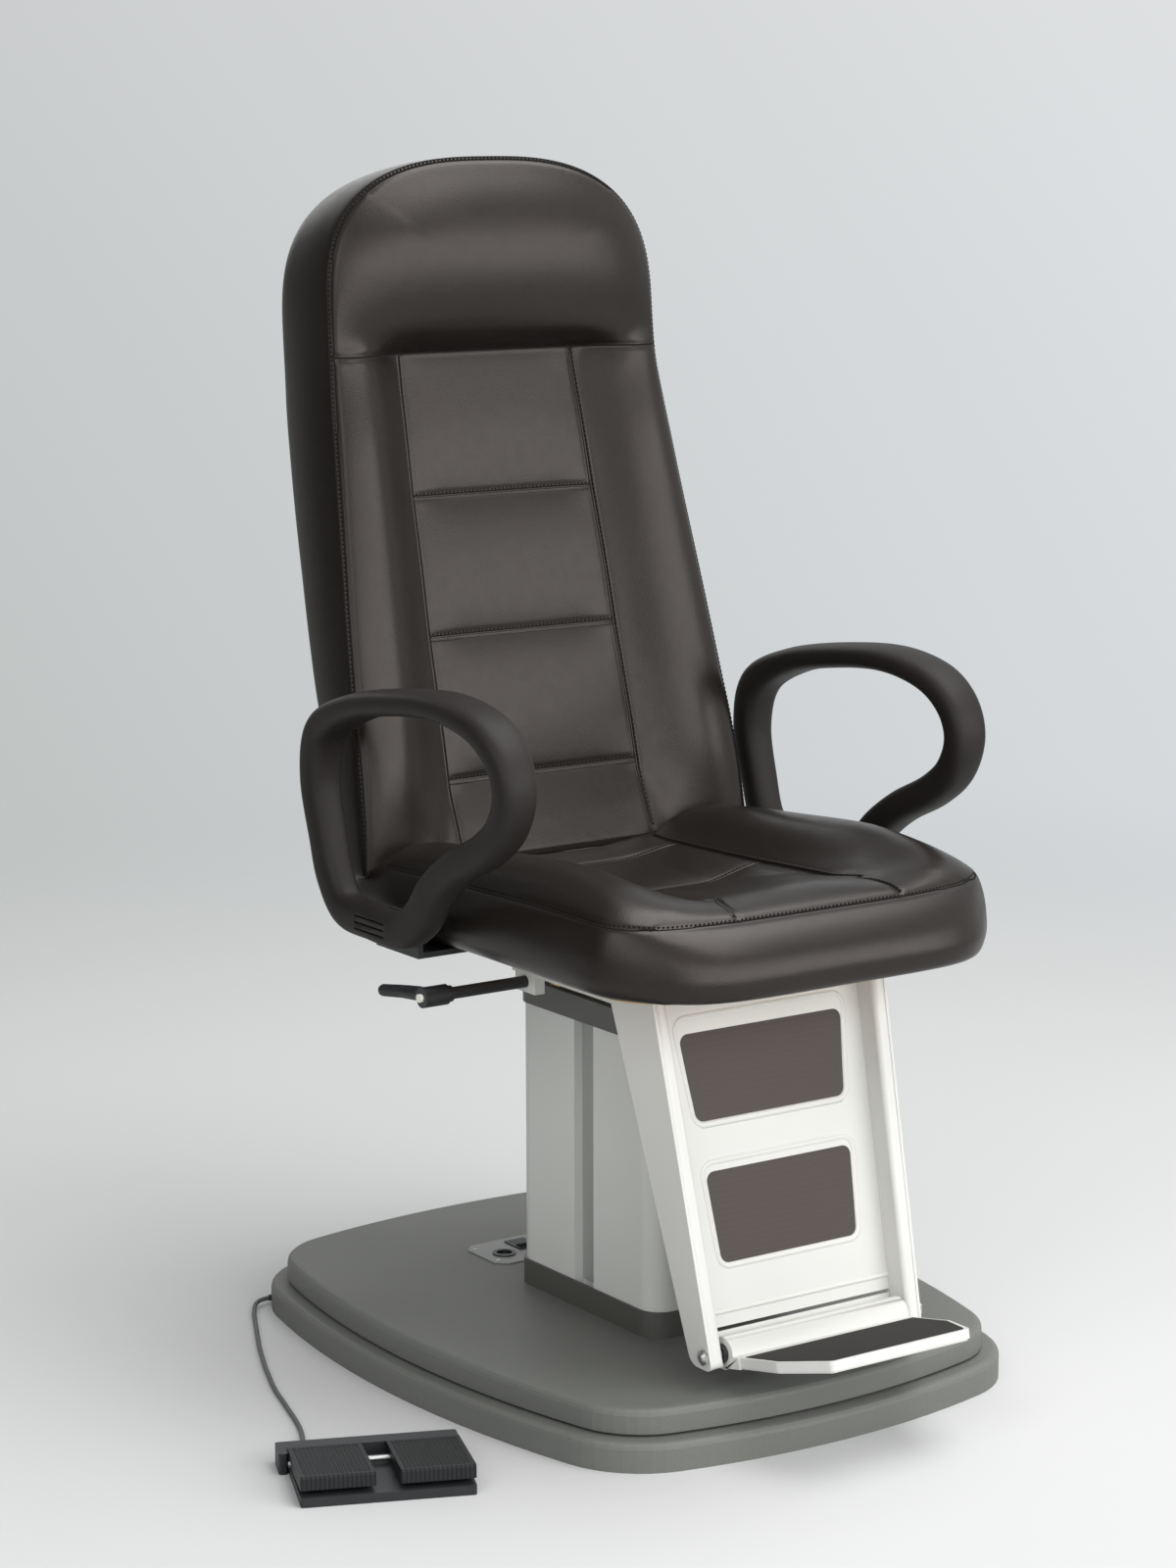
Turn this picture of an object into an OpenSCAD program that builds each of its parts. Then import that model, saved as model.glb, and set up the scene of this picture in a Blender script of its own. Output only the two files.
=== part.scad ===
// Examination chair on a lifting column: a swivel seat with a high back and
// loop armrests, a leg rest with a folding foot plate, a clamping lever and a
// foot control with two pedals. Millimetres. The chair faces -Y, Z is the
// swivel axis and the floor is z = 0.

/* [Base] */
// Front edge of the base ahead of the swivel axis
base_front = 350; // [330:1:380]
// Rear edge of the base behind the swivel axis
base_rear = 432; // [410:1:470]
// Half of the greatest width of the base
base_half_w = 316; // [300:1:335]
// Radius of the bowed front edge
front_edge_r = 826; // [700:1:1200]
// Radius of the bowed side edges
side_edge_r = 1221; // [1000:1:1800]
// Radius of the bowed rear edge
rear_edge_r = 1023; // [800:1:1600]
// Place along Y where the sides bow out most
side_bow_y = 63; // [30:1:90]
// Radius of the four rounded corners
base_corner_r = 110; // [90:1:130]
// Height of the lower cover
lower_cover_h = 31; // [28:1:45]
// Height of the upper cover
upper_cover_h = 29; // [26:1:45]
// How far the upper cover is set in from the lower one
cover_step = 19; // [12:1:30]
// Radius of the rounded cover edges
cover_edge_r = 7; // [4:1:9]
// Height of the shadow groove under the upper cover
groove_h = 3; // [2:0.5:5]
// Depth of the shadow groove
groove_depth = 8; // [4:1:14]
// Thickness of the steel plate inside the lower cover
base_plate_t = 12; // [8:1:14]
// Width of the cover's rim around the steel plate
plate_rim = 28; // [22:1:36]
// Diameter of each grip pad
grip_pad_d = 40; // [25:1:50]
// Thickness of each grip pad
grip_pad_t = 3; // [2:0.5:5]

/* [Column] */
// Width of the outer profile across X
column_w = 177; // [170:1:190]
// Depth of the outer profile along Y
column_d = 260; // [240:1:268]
// Corner radius of the outer profile
column_corner = 25; // [18:1:32]
// Height of the fixed column above the covers
column_h = 348; // [330:1:420]
// Wall of the outer profile
column_wall = 5; // [4:0.5:6]
// Gap between the two profiles, filled by the guide pads
guide_gap = 4; // [3:0.5:6]
// Wall of the inner profile
inner_wall = 4; // [3:0.5:5]
// Height of the skirt at the column's foot
skirt_h = 28.5; // [20:0.5:40]
// Wall of the skirt and of the top bezel
trim_t = 3; // [2:0.5:4]
// Height of the bezel around the column's top
bezel_h = 27; // [20:1:40]
// Width of the slot in each side of the column
slot_w = 36; // [24:1:44]
// Depth of the slot
slot_depth = 12.5; // [8:0.5:14]
// Diameter of the actuator tube
actuator_d = 56; // [48:1:60]
// Diameter of the actuator rod
rod_d = 35.8; // [30:0.1:38]
// Diameter of the lift motor
motor_d = 58; // [48:1:60]

/* [Swivel] */
// Thickness of the plate on top of the inner profile
head_plate_t = 8; // [6:1:10]
// Radius of the brake disc
brake_disc_r = 86; // [80:1:90]
// Height of the brake disc
brake_disc_h = 16; // [14:1:18]
// Thickness of the slide ring under the seat carrier
slide_ring_t = 4.7; // [3:0.1:6]
// Diameter of the swivel post
post_d = 40; // [36:1:44]
// Wall of the bush around the post
bush_wall = 4; // [3:0.5:5]

/* [Seat carrier] */
// Width of the carrier
carrier_w = 300; // [290:1:320]
// Front end of the carrier ahead of the swivel axis
carrier_front = 140; // [130:1:150]
// Rear end of the carrier behind the swivel axis
carrier_rear = 45; // [42:1:60]
// Height of the carrier
carrier_h = 36; // [32:1:42]
// Thickness of the carrier's sheet
sheet_t = 4; // [3:0.5:5]

/* [Clamping lever] */
// Lever axis behind the swivel axis
lever_y = 20; // [17:1:24]
// Diameter of the lever rod
lever_rod_d = 13; // [10:0.5:14]
// Length of the rod outside its block
lever_rod_l = 94; // [80:1:98]
// Diameter of the lever hub
hub_d = 22; // [18:1:26]
// Length of the lever hub
hub_l = 36; // [30:1:42]
// Length of the handle from the lever axis
handle_l = 70; // [55:1:85]
// Diameter of the button in the hub
button_d = 9; // [7:0.5:11]
// Travel of the button
button_travel = 3; // [2:0.5:4]

/* [Seat] */
// Half width of the seat at its seam
seat_half_w = 241; // [236:1:243]
// Seam at the front edge ahead of the swivel axis
seat_nose = 300; // [280:1:320]
// Seam at the rear edge behind the swivel axis
seat_rear = 153; // [140:1:154]
// Height of the seam above the cushion's underside
seat_seam_h = 74; // [64:1:84]
// Rise of the side bolsters above the seam
seat_bolster = 26; // [18:1:34]
// Depth of the seat's hollow below the seam
seat_hollow = 24; // [14:1:30]
// Thickness of the seat board
seat_board_t = 12; // [10:1:18]
// How far the front of the cushion bulges past its seam
seat_front_bulge = 47; // [30:1:52]
// How far the sides of the cushion bulge past their seam
seat_side_bulge = 13; // [8:1:16]

/* [Backrest] */
// Height of the backrest
back_h = 760; // [700:5:800]
// Half width of the backrest at its foot
back_half_w = 247; // [230:1:250]
// Front seam at the foot of the back, behind the swivel axis
back_foot_y = 164; // [162:1:180]
// How far the seam leans back from foot to top
back_lean = 146; // [120:1:175]
// Greatest thickness of the back from seam to rear edge
back_t = 106; // [95:1:120]
// Height of the back's foot above the seat carrier
back_foot_h = 56; // [50:1:70]
// How far the side bolsters swell ahead of the seam
back_bolster = 12; // [6:1:16]
// How far the head pad swells ahead of the seam
head_bulge = 30; // [15:1:36]
// How far the centre panel lies behind the seam
back_recess = 28; // [18:1:32]
// Thickness of the board inside the back
back_board_t = 12; // [8:1:15]
// Thickness of the rear cover panel
back_panel_t = 10; // [6:1:14]
// Width of the bracket that carries the back
bracket_w = 70; // [50:1:90]
// Thickness of that bracket
bracket_t = 8; // [6:1:10]

/* [Armrests] */
// Middle of each armrest from the middle of the chair
arm_x = 290; // [289:1:300]
// Length of the armrest loop along its middle line
arm_len = 372; // [350:1:390]
// Height of the armrest loop along its middle line
arm_h = 249; // [230:1:270]
// Foremost point of the loop's middle line
arm_front = 174; // [165:1:185]
// Middle line of the bottom bar above the seat carrier
arm_foot_h = 25; // [22:1:30]
// Half width of the arm pad
arm_pad_w = 29; // [26:1:32]
// Thickness of the arm bracket's flat steel
arm_bracket_t = 6; // [4:0.5:6]

/* [Leg rest] */
// Half width of the leg rest at the foot plate's axis
leg_half_w = 138; // [132:1:142]
// Foot plate axis ahead of the swivel axis
foot_axis_front = 288; // [280:1:300]
// Height of the foot plate axis
foot_axis_z = 97; // [90:1:110]
// Backward lean of the leg rest in degrees
leg_lean = 13.2; // [10:0.1:15]
// Outward lean of each side in degrees
leg_splay = 2; // [1:0.1:2.5]
// Width of each side rim
rim_w = 18; // [16:1:20]
// How far the panel lies behind the rims
rim_depth = 27; // [20:1:32]
// Sheet of the leg rest
leg_sheet = 3; // [2:0.5:4]
// Corner radius of the two windows
window_r = 10; // [5:1:14]

/* [Foot plate] */
// Length of the foot plate from its axis
foot_len = 148; // [120:1:165]
// Half width of the foot plate
foot_half_w = 113; // [105:1:114]
// Half width at the front edge
foot_nose_w = 89; // [75:1:100]
// Thickness of the foot plate
foot_t = 12; // [9:1:14]
// Rise of the foot plate towards its front in degrees
foot_rise = 12; // [6:1:16]
// Radius of the hinge barrel
barrel_r = 17; // [15:1:19]
// Diameter of the hinge bolts
hinge_bolt_d = 10; // [8:0.5:11]
// Thickness of the mat
mat_t = 2.5; // [1.5:0.5:4]

/* [Foot control] */
// Middle of the foot control across X
pedal_x = -453; // [-480:1:-450]
// Middle of the foot control along Y
pedal_y = -171; // [-190:1:-160]
// Turn of the foot control about Z in degrees
pedal_turn = -22.8; // [-30:0.1:-15]
// Width of the foot control
control_w = 175; // [165:1:190]
// Depth of the foot control
control_d = 128; // [120:1:140]
// Thickness of its floor plate
control_floor = 10; // [8:0.5:12]
// Height of its rear cover
control_rear_h = 22; // [20:1:24]
// Depth of its rear cover
control_rear_d = 20; // [16:1:24]
// Gap between the two pedals
pedal_gap = 25; // [20:1:32]
// Height of the pedals at their front edge
pedal_front_h = 30; // [28:1:33]
// Diameter of the pedal axle
axle_d = 6; // [4:0.5:6]
// Diameter of the control cord
cord_d = 5; // [4:0.5:6]

/* [Hidden] */

// Overrun of cuts, running clearance, loose clearance, gap between moving parts
over = 1;
run_clear = 0.05;
slip = 0.2;
rest_gap = 0.3;
$fn = 64;

// Colours as the chair shows them
cover_grey = "#5f615e";
profile_grey = "#a8aaa5";
trim_grey = "#4a4b47";
strip_grey = "#666a68";
leather = "#3a3230";
arm_black = "#2a2624";
white = "#e8e8e4";
insert_grey = "#5f5754";
steel = "#b8b8b8";
black = "#232426";
charcoal = "#35383a";
wood = "#c8a878";
brass = "#b08d4a";

// Heights of the stack from the floor up
lower_z = lower_cover_h;
deck_z = lower_cover_h + upper_cover_h;
column_top = deck_z + column_h;
head_gap = 1;
head_z = column_top + head_gap;
disc_z = head_z + head_plate_t;
ring_z = disc_z + brake_disc_h + rest_gap;
carrier_z = ring_z + slide_ring_t;
carrier_top = carrier_z + carrier_h;

// General shapes

// Rectangle with round corners, centred
module round_rect(w, d, r) {
  square([w - 2 * r, d], center = true);
  square([w, d - 2 * r], center = true);
  for (sx = [-1, 1], sy = [-1, 1])
    translate([sx * (w / 2 - r), sy * (d / 2 - r)])
      circle(r);
}

// Box between two corners
module span(a, b) {
  translate(a)
    cube(b - a);
}

// Once as drawn and once as its mirror image
module both_sides() {
  for (s = [0, 1])
    mirror([s, 0, 0])
      children();
}

// Cylinder along X from x0 to x1 at a given y and z
module rod_x(x0, x1, y, z, r) {
  translate([min(x0, x1), y, z])
    rotate([0, 90, 0])
      cylinder(h = abs(x1 - x0), r = r);
}

// Unit vector
function unit(v) = v / norm(v);

// Straight blend between two values
function mix(a, b, k) = a + (b - a) * k;

// Smooth step from 0 to 1 as x goes from a to b
function smooth(a, b, x) =
  let (k = max(0, min(1, (x - a) / (b - a))))
  k * k * (3 - 2 * k);

// Points of an arc about c
function arc_points(c, r, a0, a1, n) =
  [for (k = [0:n]) let (a = mix(a0, a1, k / n)) c + r * [cos(a), sin(a)]];

// Convex outline with every corner rounded to its own radius
function round_corner(p, q, s, r, n) =
  let (
    u = unit(p - q),
    v = unit(s - q),
    half = acos(u * v) / 2,
    c = q + unit(u + v) * r / sin(half),
    from = q + u * r / tan(half) - c,
    to = q + v * r / tan(half) - c,
    a0 = atan2(from.y, from.x),
    turn = (atan2(to.y, to.x) - a0 + 540) % 360 - 180
  )
  arc_points(c, r, a0, a0 + turn, n);
function round_outline(points, radii, n) =
  let (m = len(points))
  [for (i = [0:m - 1])
    each round_corner(points[(i + m - 1) % m], points[i],
      points[(i + 1) % m], radii[i], n)];

// Base

// Bow centres, and the middles of the corner radii
front_bow = [0, front_edge_r - base_front];
rear_bow = [0, base_rear - rear_edge_r];
side_bow = [base_half_w - side_edge_r, side_bow_y];
function circle_meet(c1, r1, c2, r2, side) =
  let (
    d = norm(c2 - c1),
    u = (c2 - c1) / d,
    a = (r1 * r1 - r2 * r2 + d * d) / (2 * d),
    h = sqrt(r1 * r1 - a * a)
  )
  c1 + a * u + side * h * [-u.y, u.x];
front_corner = circle_meet(front_bow, front_edge_r - base_corner_r,
  side_bow, side_edge_r - base_corner_r, 1);
rear_corner = circle_meet(rear_bow, rear_edge_r - base_corner_r,
  side_bow, side_edge_r - base_corner_r, -1);
function heading(from, to) = atan2(to.y - from.y, to.x - from.x);
corner_steps = 8;
bow_steps = 7;

// Right half of the base outline, set in by an inset, from front to rear
function base_half(inset) =
  let (
    r = base_corner_r - inset,
    f0 = heading(front_bow, front_corner),
    s0 = heading(side_bow, front_corner),
    s1 = heading(side_bow, rear_corner),
    b0 = heading(rear_bow, rear_corner)
  )
  concat(
    arc_points(front_bow, front_edge_r - inset, -90, f0, bow_steps),
    arc_points(front_corner, r, f0, s0, corner_steps),
    arc_points(side_bow, side_edge_r - inset, s0, s1, 2 * bow_steps),
    arc_points(rear_corner, r, s1, b0, corner_steps),
    arc_points(rear_bow, rear_edge_r - inset, b0, 90, bow_steps));

// Drops points that repeat the one before, and closes with the mirror image
function tidy(points) =
  [for (i = [0:len(points) - 1])
    if (i == 0 || norm(points[i] - points[max(0, i - 1)]) > 0) points[i]];
function base_outline(inset) =
  let (half = tidy(base_half(inset)), n = len(half))
  concat(half, [for (i = [n - 2:-1:1]) [-half[i].x, half[i].y]]);

// Slab with plain sides and a rounded top edge
edge_steps = 3;
layer_t = 0.02;
module base_slab(z0, z1, inset, r) {
  translate([0, 0, z0])
    linear_extrude(z1 - z0 - r)
      polygon(base_outline(inset));
  hull() {
    for (k = [0:edge_steps])
      let (a = 90 * k / edge_steps)
      translate([0, 0, z1 - r + r * sin(a) - layer_t])
        linear_extrude(layer_t)
          polygon(base_outline(inset + r * (1 - cos(a))));
  }
}

// Column bolts stand inside the profile's corners
bolt_x_share = 0.33;
bolt_y_share = 0.36;
column_bolt_d = 12;
bolt_head_d = 19;
bolt_head_h = 8;
flange_t = 12;
module at_column_bolts() {
  for (sx = [-1, 1], sy = [-1, 1])
    translate([sx * column_w * bolt_x_share, sy * column_d * bolt_y_share, 0])
      children();
}

module base_plate() {
  color(steel)
    difference() {
      linear_extrude(base_plate_t)
        polygon(base_outline(plate_rim));
      translate([0, 0, base_plate_t / 2])
        at_column_bolts()
          cylinder(h = base_plate_t, d = column_bolt_d);
      at_grip_pads()
        cylinder(h = grip_pad_t, d = grip_pad_d + 2 * slip);
    }
}

// Grip pads let into the plate near the base's corners
grip_inset = 6;
module at_grip_pads() {
  for (sx = [-1, 1], c = [front_corner, rear_corner])
    translate([sx * (c.x + grip_inset), c.y, 0])
      children();
}
module base_grip_pads() {
  color(black)
    at_grip_pads()
      cylinder(h = grip_pad_t, d = grip_pad_d);
}

// Recess for the control unit in the top of the lower cover
unit_w = 120;
unit_d = 90;
unit_y = 290;
unit_lid = 1;
unit_floor = base_plate_t + 2 * unit_lid;
unit_h = lower_cover_h - unit_floor - unit_lid;
module base_lower_cover() {
  color(cover_grey)
    difference() {
      base_slab(0, lower_cover_h, 0, cover_edge_r);
      translate([0, 0, -over])
        linear_extrude(base_plate_t + over)
          polygon(base_outline(plate_rim - slip));
      translate([0, unit_y, unit_floor])
        linear_extrude(lower_cover_h)
          square([unit_w + 2 * slip, unit_d + 2 * slip], center = true);
      at_column_bolts()
        cylinder(h = lower_cover_h + over, d = column_bolt_d + 2 * slip);
      translate([grommet_out, cord_route[0].y, cord_route[0].z])
        rotate([0, 90, 0])
          cylinder(h = grommet_l + slip, d = grommet_d + 2 * slip);
    }
}

module base_upper_cover() {
  color(cover_grey)
    difference() {
      union() {
        translate([0, 0, lower_z])
          linear_extrude(groove_h)
            polygon(base_outline(cover_step + groove_depth));
        base_slab(lower_z + groove_h, deck_z, cover_step, cover_edge_r);
      }
      at_column_bolts()
        translate([0, 0, lower_z - over])
          cylinder(h = upper_cover_h + 2 * over, d = column_bolt_d + 2 * slip);
      translate([socket_x, socket_y, deck_z - socket_depth - slip])
        cylinder(h = socket_depth + over, d = socket_d + 2 * slip);
      translate([switch_x, switch_y, deck_z - switch_depth - slip])
        linear_extrude(switch_depth + over)
          square([switch_w + 2 * slip, switch_d + 2 * slip], center = true);
    }
}

module control_unit() {
  color(charcoal)
    translate([0, unit_y, unit_floor])
      linear_extrude(unit_h)
        round_rect(unit_w, unit_d, column_wall);
}

// Service plate behind the column, with its socket and power switch
plate_t = 1.5;
plate_w = 164;
plate_d = 80;
plate_cut = 12;
plate_y = 217;
plate_screw_inset = 8;
plate_screw_d = 5;
socket_x = -54;
socket_y = 211;
socket_d = 24;
socket_depth = 18;
socket_lip = 1.5;
pin_d = 3;
pin_ring_share = 0.22;
switch_x = -18;
switch_y = 229;
switch_w = 24;
switch_d = 32;
switch_depth = 16;
switch_wall = 2;
switch_lip = 1.5;
plate_top = deck_z + plate_t;
module service_plate() {
  w = plate_w / 2;
  d = plate_d / 2;
  color(cover_grey)
    difference() {
      translate([0, plate_y, deck_z])
        linear_extrude(plate_t)
          polygon(round_outline([[-w, -d], [w, -d], [w, d], [-w, d]],
            [for (k = [0:3]) plate_cut], 1));
      translate([socket_x, socket_y, deck_z - over])
        cylinder(h = plate_t + 2 * over, d = socket_d + 2 * slip);
      translate([switch_x, switch_y, deck_z - over])
        linear_extrude(plate_t + 2 * over)
          square([switch_w + 2 * slip, switch_d + 2 * slip], center = true);
    }
}

module service_plate_screws() {
  r = plate_screw_d / 2;
  color(steel)
    for (sx = [-1, 1], sy = [-1, 1])
      translate([
        sx * (plate_w / 2 - plate_screw_inset),
        plate_y + sy * (plate_d / 2 - 2 * plate_screw_inset),
        plate_top])
        cylinder(h = r / 2, r1 = r, r2 = r * 0.8);
}

module accessory_socket() {
  color(black)
    translate([socket_x, socket_y, 0])
      difference() {
        union() {
          translate([0, 0, deck_z - socket_depth])
            cylinder(h = socket_depth + plate_t, d = socket_d);
          translate([0, 0, plate_top])
            cylinder(h = socket_lip, d = socket_d + 2 * socket_lip);
        }
        translate([0, 0, plate_top - socket_lip])
          cylinder(h = 2 * socket_lip + over, d = socket_d - 4 * socket_lip);
        for (k = [0:2])
          rotate([0, 0, 90 + 120 * k])
            translate([socket_d * pin_ring_share, 0, deck_z - socket_depth / 2])
              cylinder(h = socket_depth, d = pin_d);
      }
}

module switch_bezel() {
  color(black)
    translate([switch_x, switch_y, 0])
      difference() {
        union() {
          translate([0, 0, deck_z - switch_depth])
            linear_extrude(switch_depth + plate_t)
              square([switch_w, switch_d], center = true);
          translate([0, 0, plate_top])
            linear_extrude(switch_lip)
              round_rect(switch_w + 2 * switch_lip,
                switch_d + 2 * switch_lip, switch_lip);
        }
        translate([0, 0, deck_z - switch_depth + switch_wall])
          linear_extrude(switch_depth + plate_t + switch_lip)
            square([switch_w - 2 * switch_wall, switch_d - 2 * switch_wall],
              center = true);
        rod_x(-switch_w, switch_w, 0, rocker_z, rocker_pin_r + run_clear);
      }
}

// Rocker that tips about a pin across the switch
rocker_tilt = 7;
rocker_pin_r = 1.5;
rocker_shares = [[-0.5, -1], [0.5, -1], [0.92, 0.3], [0.9, 1.35], [0, 0.95],
  [-0.9, 1.35], [-0.92, 0.3]];
rocker_z = deck_z - 2 * rocker_pin_r;
module power_rocker() {
  half_d = switch_d / 2 - switch_wall - 1.5 * slip;
  half_w = switch_w / 2 - switch_wall - slip;
  crown = plate_t + switch_lip - (rocker_z - deck_z);
  color(charcoal)
    translate([switch_x, switch_y, rocker_z])
      rotate([-rocker_tilt, 0, 0])
        union() {
          rotate([90, 0, 90])
            translate([0, 0, -half_w])
              linear_extrude(2 * half_w)
                polygon([for (q = rocker_shares) [q.x * half_d, q.y * crown]]);
          rod_x(-half_w - switch_wall, half_w + switch_wall, 0, 0, rocker_pin_r);
        }
}

// Column

inner_w = column_w - 2 * column_wall;
inner_d = column_d - 2 * column_wall;
inner_corner = column_corner - column_wall;
bezel_lip = 3;
profile_top = column_top - bezel_lip;
lift_w = inner_w - 2 * guide_gap;
lift_d = inner_d - 2 * guide_gap;
lift_corner = inner_corner - guide_gap;
lift_foot = deck_z + flange_t + bolt_head_h + guide_gap;

module column_flange() {
  color(steel)
    difference() {
      translate([0, 0, deck_z])
        linear_extrude(flange_t)
          slotted(slip)
            round_rect(inner_w - 2 * slip, inner_d - 2 * slip, inner_corner);
      translate([0, 0, deck_z - over])
        at_column_bolts()
          cylinder(h = flange_t + 2 * over, d = column_bolt_d + 2 * slip);
    }
}

module column_bolts() {
  foot = base_plate_t / 2;
  color(steel)
    at_column_bolts() {
      translate([0, 0, foot])
        cylinder(h = deck_z + flange_t - foot, d = column_bolt_d);
      translate([0, 0, deck_z + flange_t])
        cylinder(h = bolt_head_h, d = bolt_head_d, $fn = 6);
    }
}

module column_skirt() {
  color(trim_grey)
    translate([0, 0, deck_z])
      linear_extrude(skirt_h)
        difference() {
          round_rect(column_w + 2 * trim_t, column_d + 2 * trim_t,
            column_corner + trim_t);
          round_rect(column_w, column_d, column_corner);
        }
}

module column_outer_profile() {
  color(profile_grey)
    translate([0, 0, deck_z])
      linear_extrude(profile_top - deck_z)
        difference() {
          round_rect(column_w, column_d, column_corner);
          slotted(0)
            round_rect(inner_w, inner_d, inner_corner);
          slot_bar(0);
        }
}

// Bar the shape of a slot, grown by a wall or a gap, on both sides
module slot_bar(grow) {
  for (s = [-1, 1])
    translate([s * column_w / 2, 0])
      square([2 * (slot_depth + grow), slot_w + 2 * grow], center = true);
}
module slotted(gap) {
  difference() {
    children();
    slot_bar(column_wall + gap);
  }
}

// Cover strips along the floor of the slots
strip_t = 2;
module column_slot_strips() {
  color(strip_grey)
    for (s = [-1, 1])
      translate([s * (column_w / 2 - slot_depth + strip_t / 2), 0, deck_z + skirt_h])
        linear_extrude(column_top - bezel_h - deck_z - skirt_h)
          square([strip_t, slot_w], center = true);
}

module column_top_bezel() {
  color(trim_grey)
    difference() {
      translate([0, 0, column_top - bezel_h])
        linear_extrude(bezel_h)
          round_rect(column_w + 2 * trim_t, column_d + 2 * trim_t,
            column_corner + trim_t);
      translate([0, 0, column_top - bezel_h - over])
        linear_extrude(bezel_h - bezel_lip + over)
          round_rect(column_w, column_d, column_corner);
      translate([0, 0, column_top - bezel_lip - over])
        linear_extrude(bezel_lip + 2 * over)
          slotted(guide_gap / 2)
            round_rect(lift_w + guide_gap, lift_d + guide_gap,
              lift_corner + guide_gap / 2);
    }
}

// Pads that fill the gap between the profiles, two to each side
pad_l = 40;
pad_share = 0.29;
pad_w_share = 0.14;
module guide_ring(z, gap, inner_clear) {
  t = guide_gap - gap;
  from = inner_clear ? gap : 0;
  for (sx = [-1, 1], sy = [-1, 1]) {
    translate([sx * (lift_w / 2 + from + t / 2), sy * lift_d * pad_share, z])
      linear_extrude(pad_l)
        square([t, lift_d * pad_w_share], center = true);
    translate([sx * lift_w * pad_share, sy * (lift_d / 2 + from + t / 2), z])
      linear_extrude(pad_l)
        square([lift_w * pad_w_share, t], center = true);
  }
}
module upper_guide_pads() {
  color(white)
    guide_ring(profile_top - pad_l, rest_gap, true);
}
module lower_guide_pads() {
  color(white)
    guide_ring(lift_foot, rest_gap, false);
}

// Lift actuator: gearbox and tube stand on the flange, the rod carries the head
gear_h = 40;
gear_w = 76;
gear_z = deck_z + flange_t;
rod_clear = 0.08;
rod_floor = 12;
tube_gap = 36;
tube_top = column_top - tube_gap;
motor_gap = 3;
motor_y = (actuator_d + motor_d) / 2 + motor_gap;
motor_l = 118;
module actuator_housing() {
  color(charcoal)
    difference() {
      union() {
        translate([0, motor_y / 2, gear_z])
          linear_extrude(gear_h)
            round_rect(gear_w, motor_y + actuator_d, inner_corner);
        translate([0, 0, gear_z])
          cylinder(h = tube_top - gear_z, d = actuator_d);
      }
      translate([0, 0, gear_z + gear_h])
        cylinder(h = column_h, d = rod_d + 2 * rod_clear);
    }
}
module actuator_motor() {
  color(black)
    translate([0, motor_y, gear_z + gear_h])
      cylinder(h = motor_l, d = motor_d);
}
module actuator_rod() {
  color(steel)
    translate([0, 0, gear_z + gear_h + rod_floor])
      cylinder(h = head_z - gear_z - gear_h - rod_floor, d = rod_d);
}

module column_inner_profile() {
  color(profile_grey)
    translate([0, 0, lift_foot])
      linear_extrude(head_z - lift_foot)
        difference() {
          slotted(guide_gap)
            round_rect(lift_w, lift_d, lift_corner);
          slotted(guide_gap + inner_wall)
            round_rect(lift_w - 2 * inner_wall, lift_d - 2 * inner_wall,
              lift_corner - inner_wall);
        }
}

// Swivel

head_lip = 3;
module head_plate() {
  color(steel)
    translate([0, 0, head_z])
      linear_extrude(head_plate_t)
        round_rect(lift_w + 2 * head_lip, lift_d + 2 * head_lip,
          lift_corner + head_lip);
}
module brake_disc() {
  color(trim_grey)
    translate([0, 0, disc_z])
      difference() {
        cylinder(h = brake_disc_h, r = brake_disc_r);
        translate([0, 0, -over])
          cylinder(h = brake_disc_h + 2 * over, d = post_d + 2 * slip);
      }
}
post_top_gap = 2;
module swivel_post() {
  color(steel)
    translate([0, 0, disc_z])
      cylinder(h = carrier_top - sheet_t - post_top_gap - disc_z, d = post_d);
}
ring_share = 0.9;
module slide_ring() {
  color(white)
    translate([0, 0, ring_z])
      difference() {
        cylinder(h = slide_ring_t, r = brake_disc_r * ring_share);
        translate([0, 0, -over])
          cylinder(h = slide_ring_t + 2 * over, r = brake_disc_r / 2);
      }
}
bush_r = post_d / 2 + run_clear + bush_wall;
hub_wall = 8;
module swivel_bush() {
  color(white)
    translate([0, 0, carrier_z])
      difference() {
        cylinder(h = carrier_h - sheet_t, r = bush_r);
        translate([0, 0, -over])
          cylinder(h = carrier_h + 2 * over, r = post_d / 2 + run_clear);
      }
}

// Folded box that carries the seat, with the welded swivel hub inside
module seat_carrier() {
  w = carrier_w / 2;
  color(white)
    difference() {
      union() {
        difference() {
          span([-w, -carrier_front, carrier_z],
            [w, carrier_rear, carrier_top]);
          span([-w + sheet_t, -carrier_front - over, carrier_z + sheet_t],
            [w - sheet_t, carrier_rear - sheet_t, carrier_top - sheet_t]);
        }
        translate([0, 0, carrier_z])
          cylinder(h = carrier_h, r = bush_r + hub_wall);
      }
      translate([0, 0, carrier_z - over])
        cylinder(h = carrier_h - sheet_t + over, r = bush_r);
    }
}

// Clamping lever

lever_drop = 3;
lever_z = ring_z - rest_gap - lever_drop;
block_l = 12;
block_d = 38;
block_in = -carrier_w / 2 + block_l;
rod_in = -brake_disc_r - lever_rod_d;
rod_out = -carrier_w / 2 - lever_rod_l;
hub_out = rod_out - hub_l;
shoe_wall = 3;
block_drop = 19.5;
module brake_block() {
  color(profile_grey)
    difference() {
      span([-carrier_w / 2, lever_y - block_d / 2, carrier_z - block_drop],
        [block_in, lever_y + block_d / 2, carrier_z]);
      rod_x(-carrier_w / 2 - over, block_in + over, lever_y, lever_z,
        lever_rod_d / 2 + run_clear);
    }
}

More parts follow.
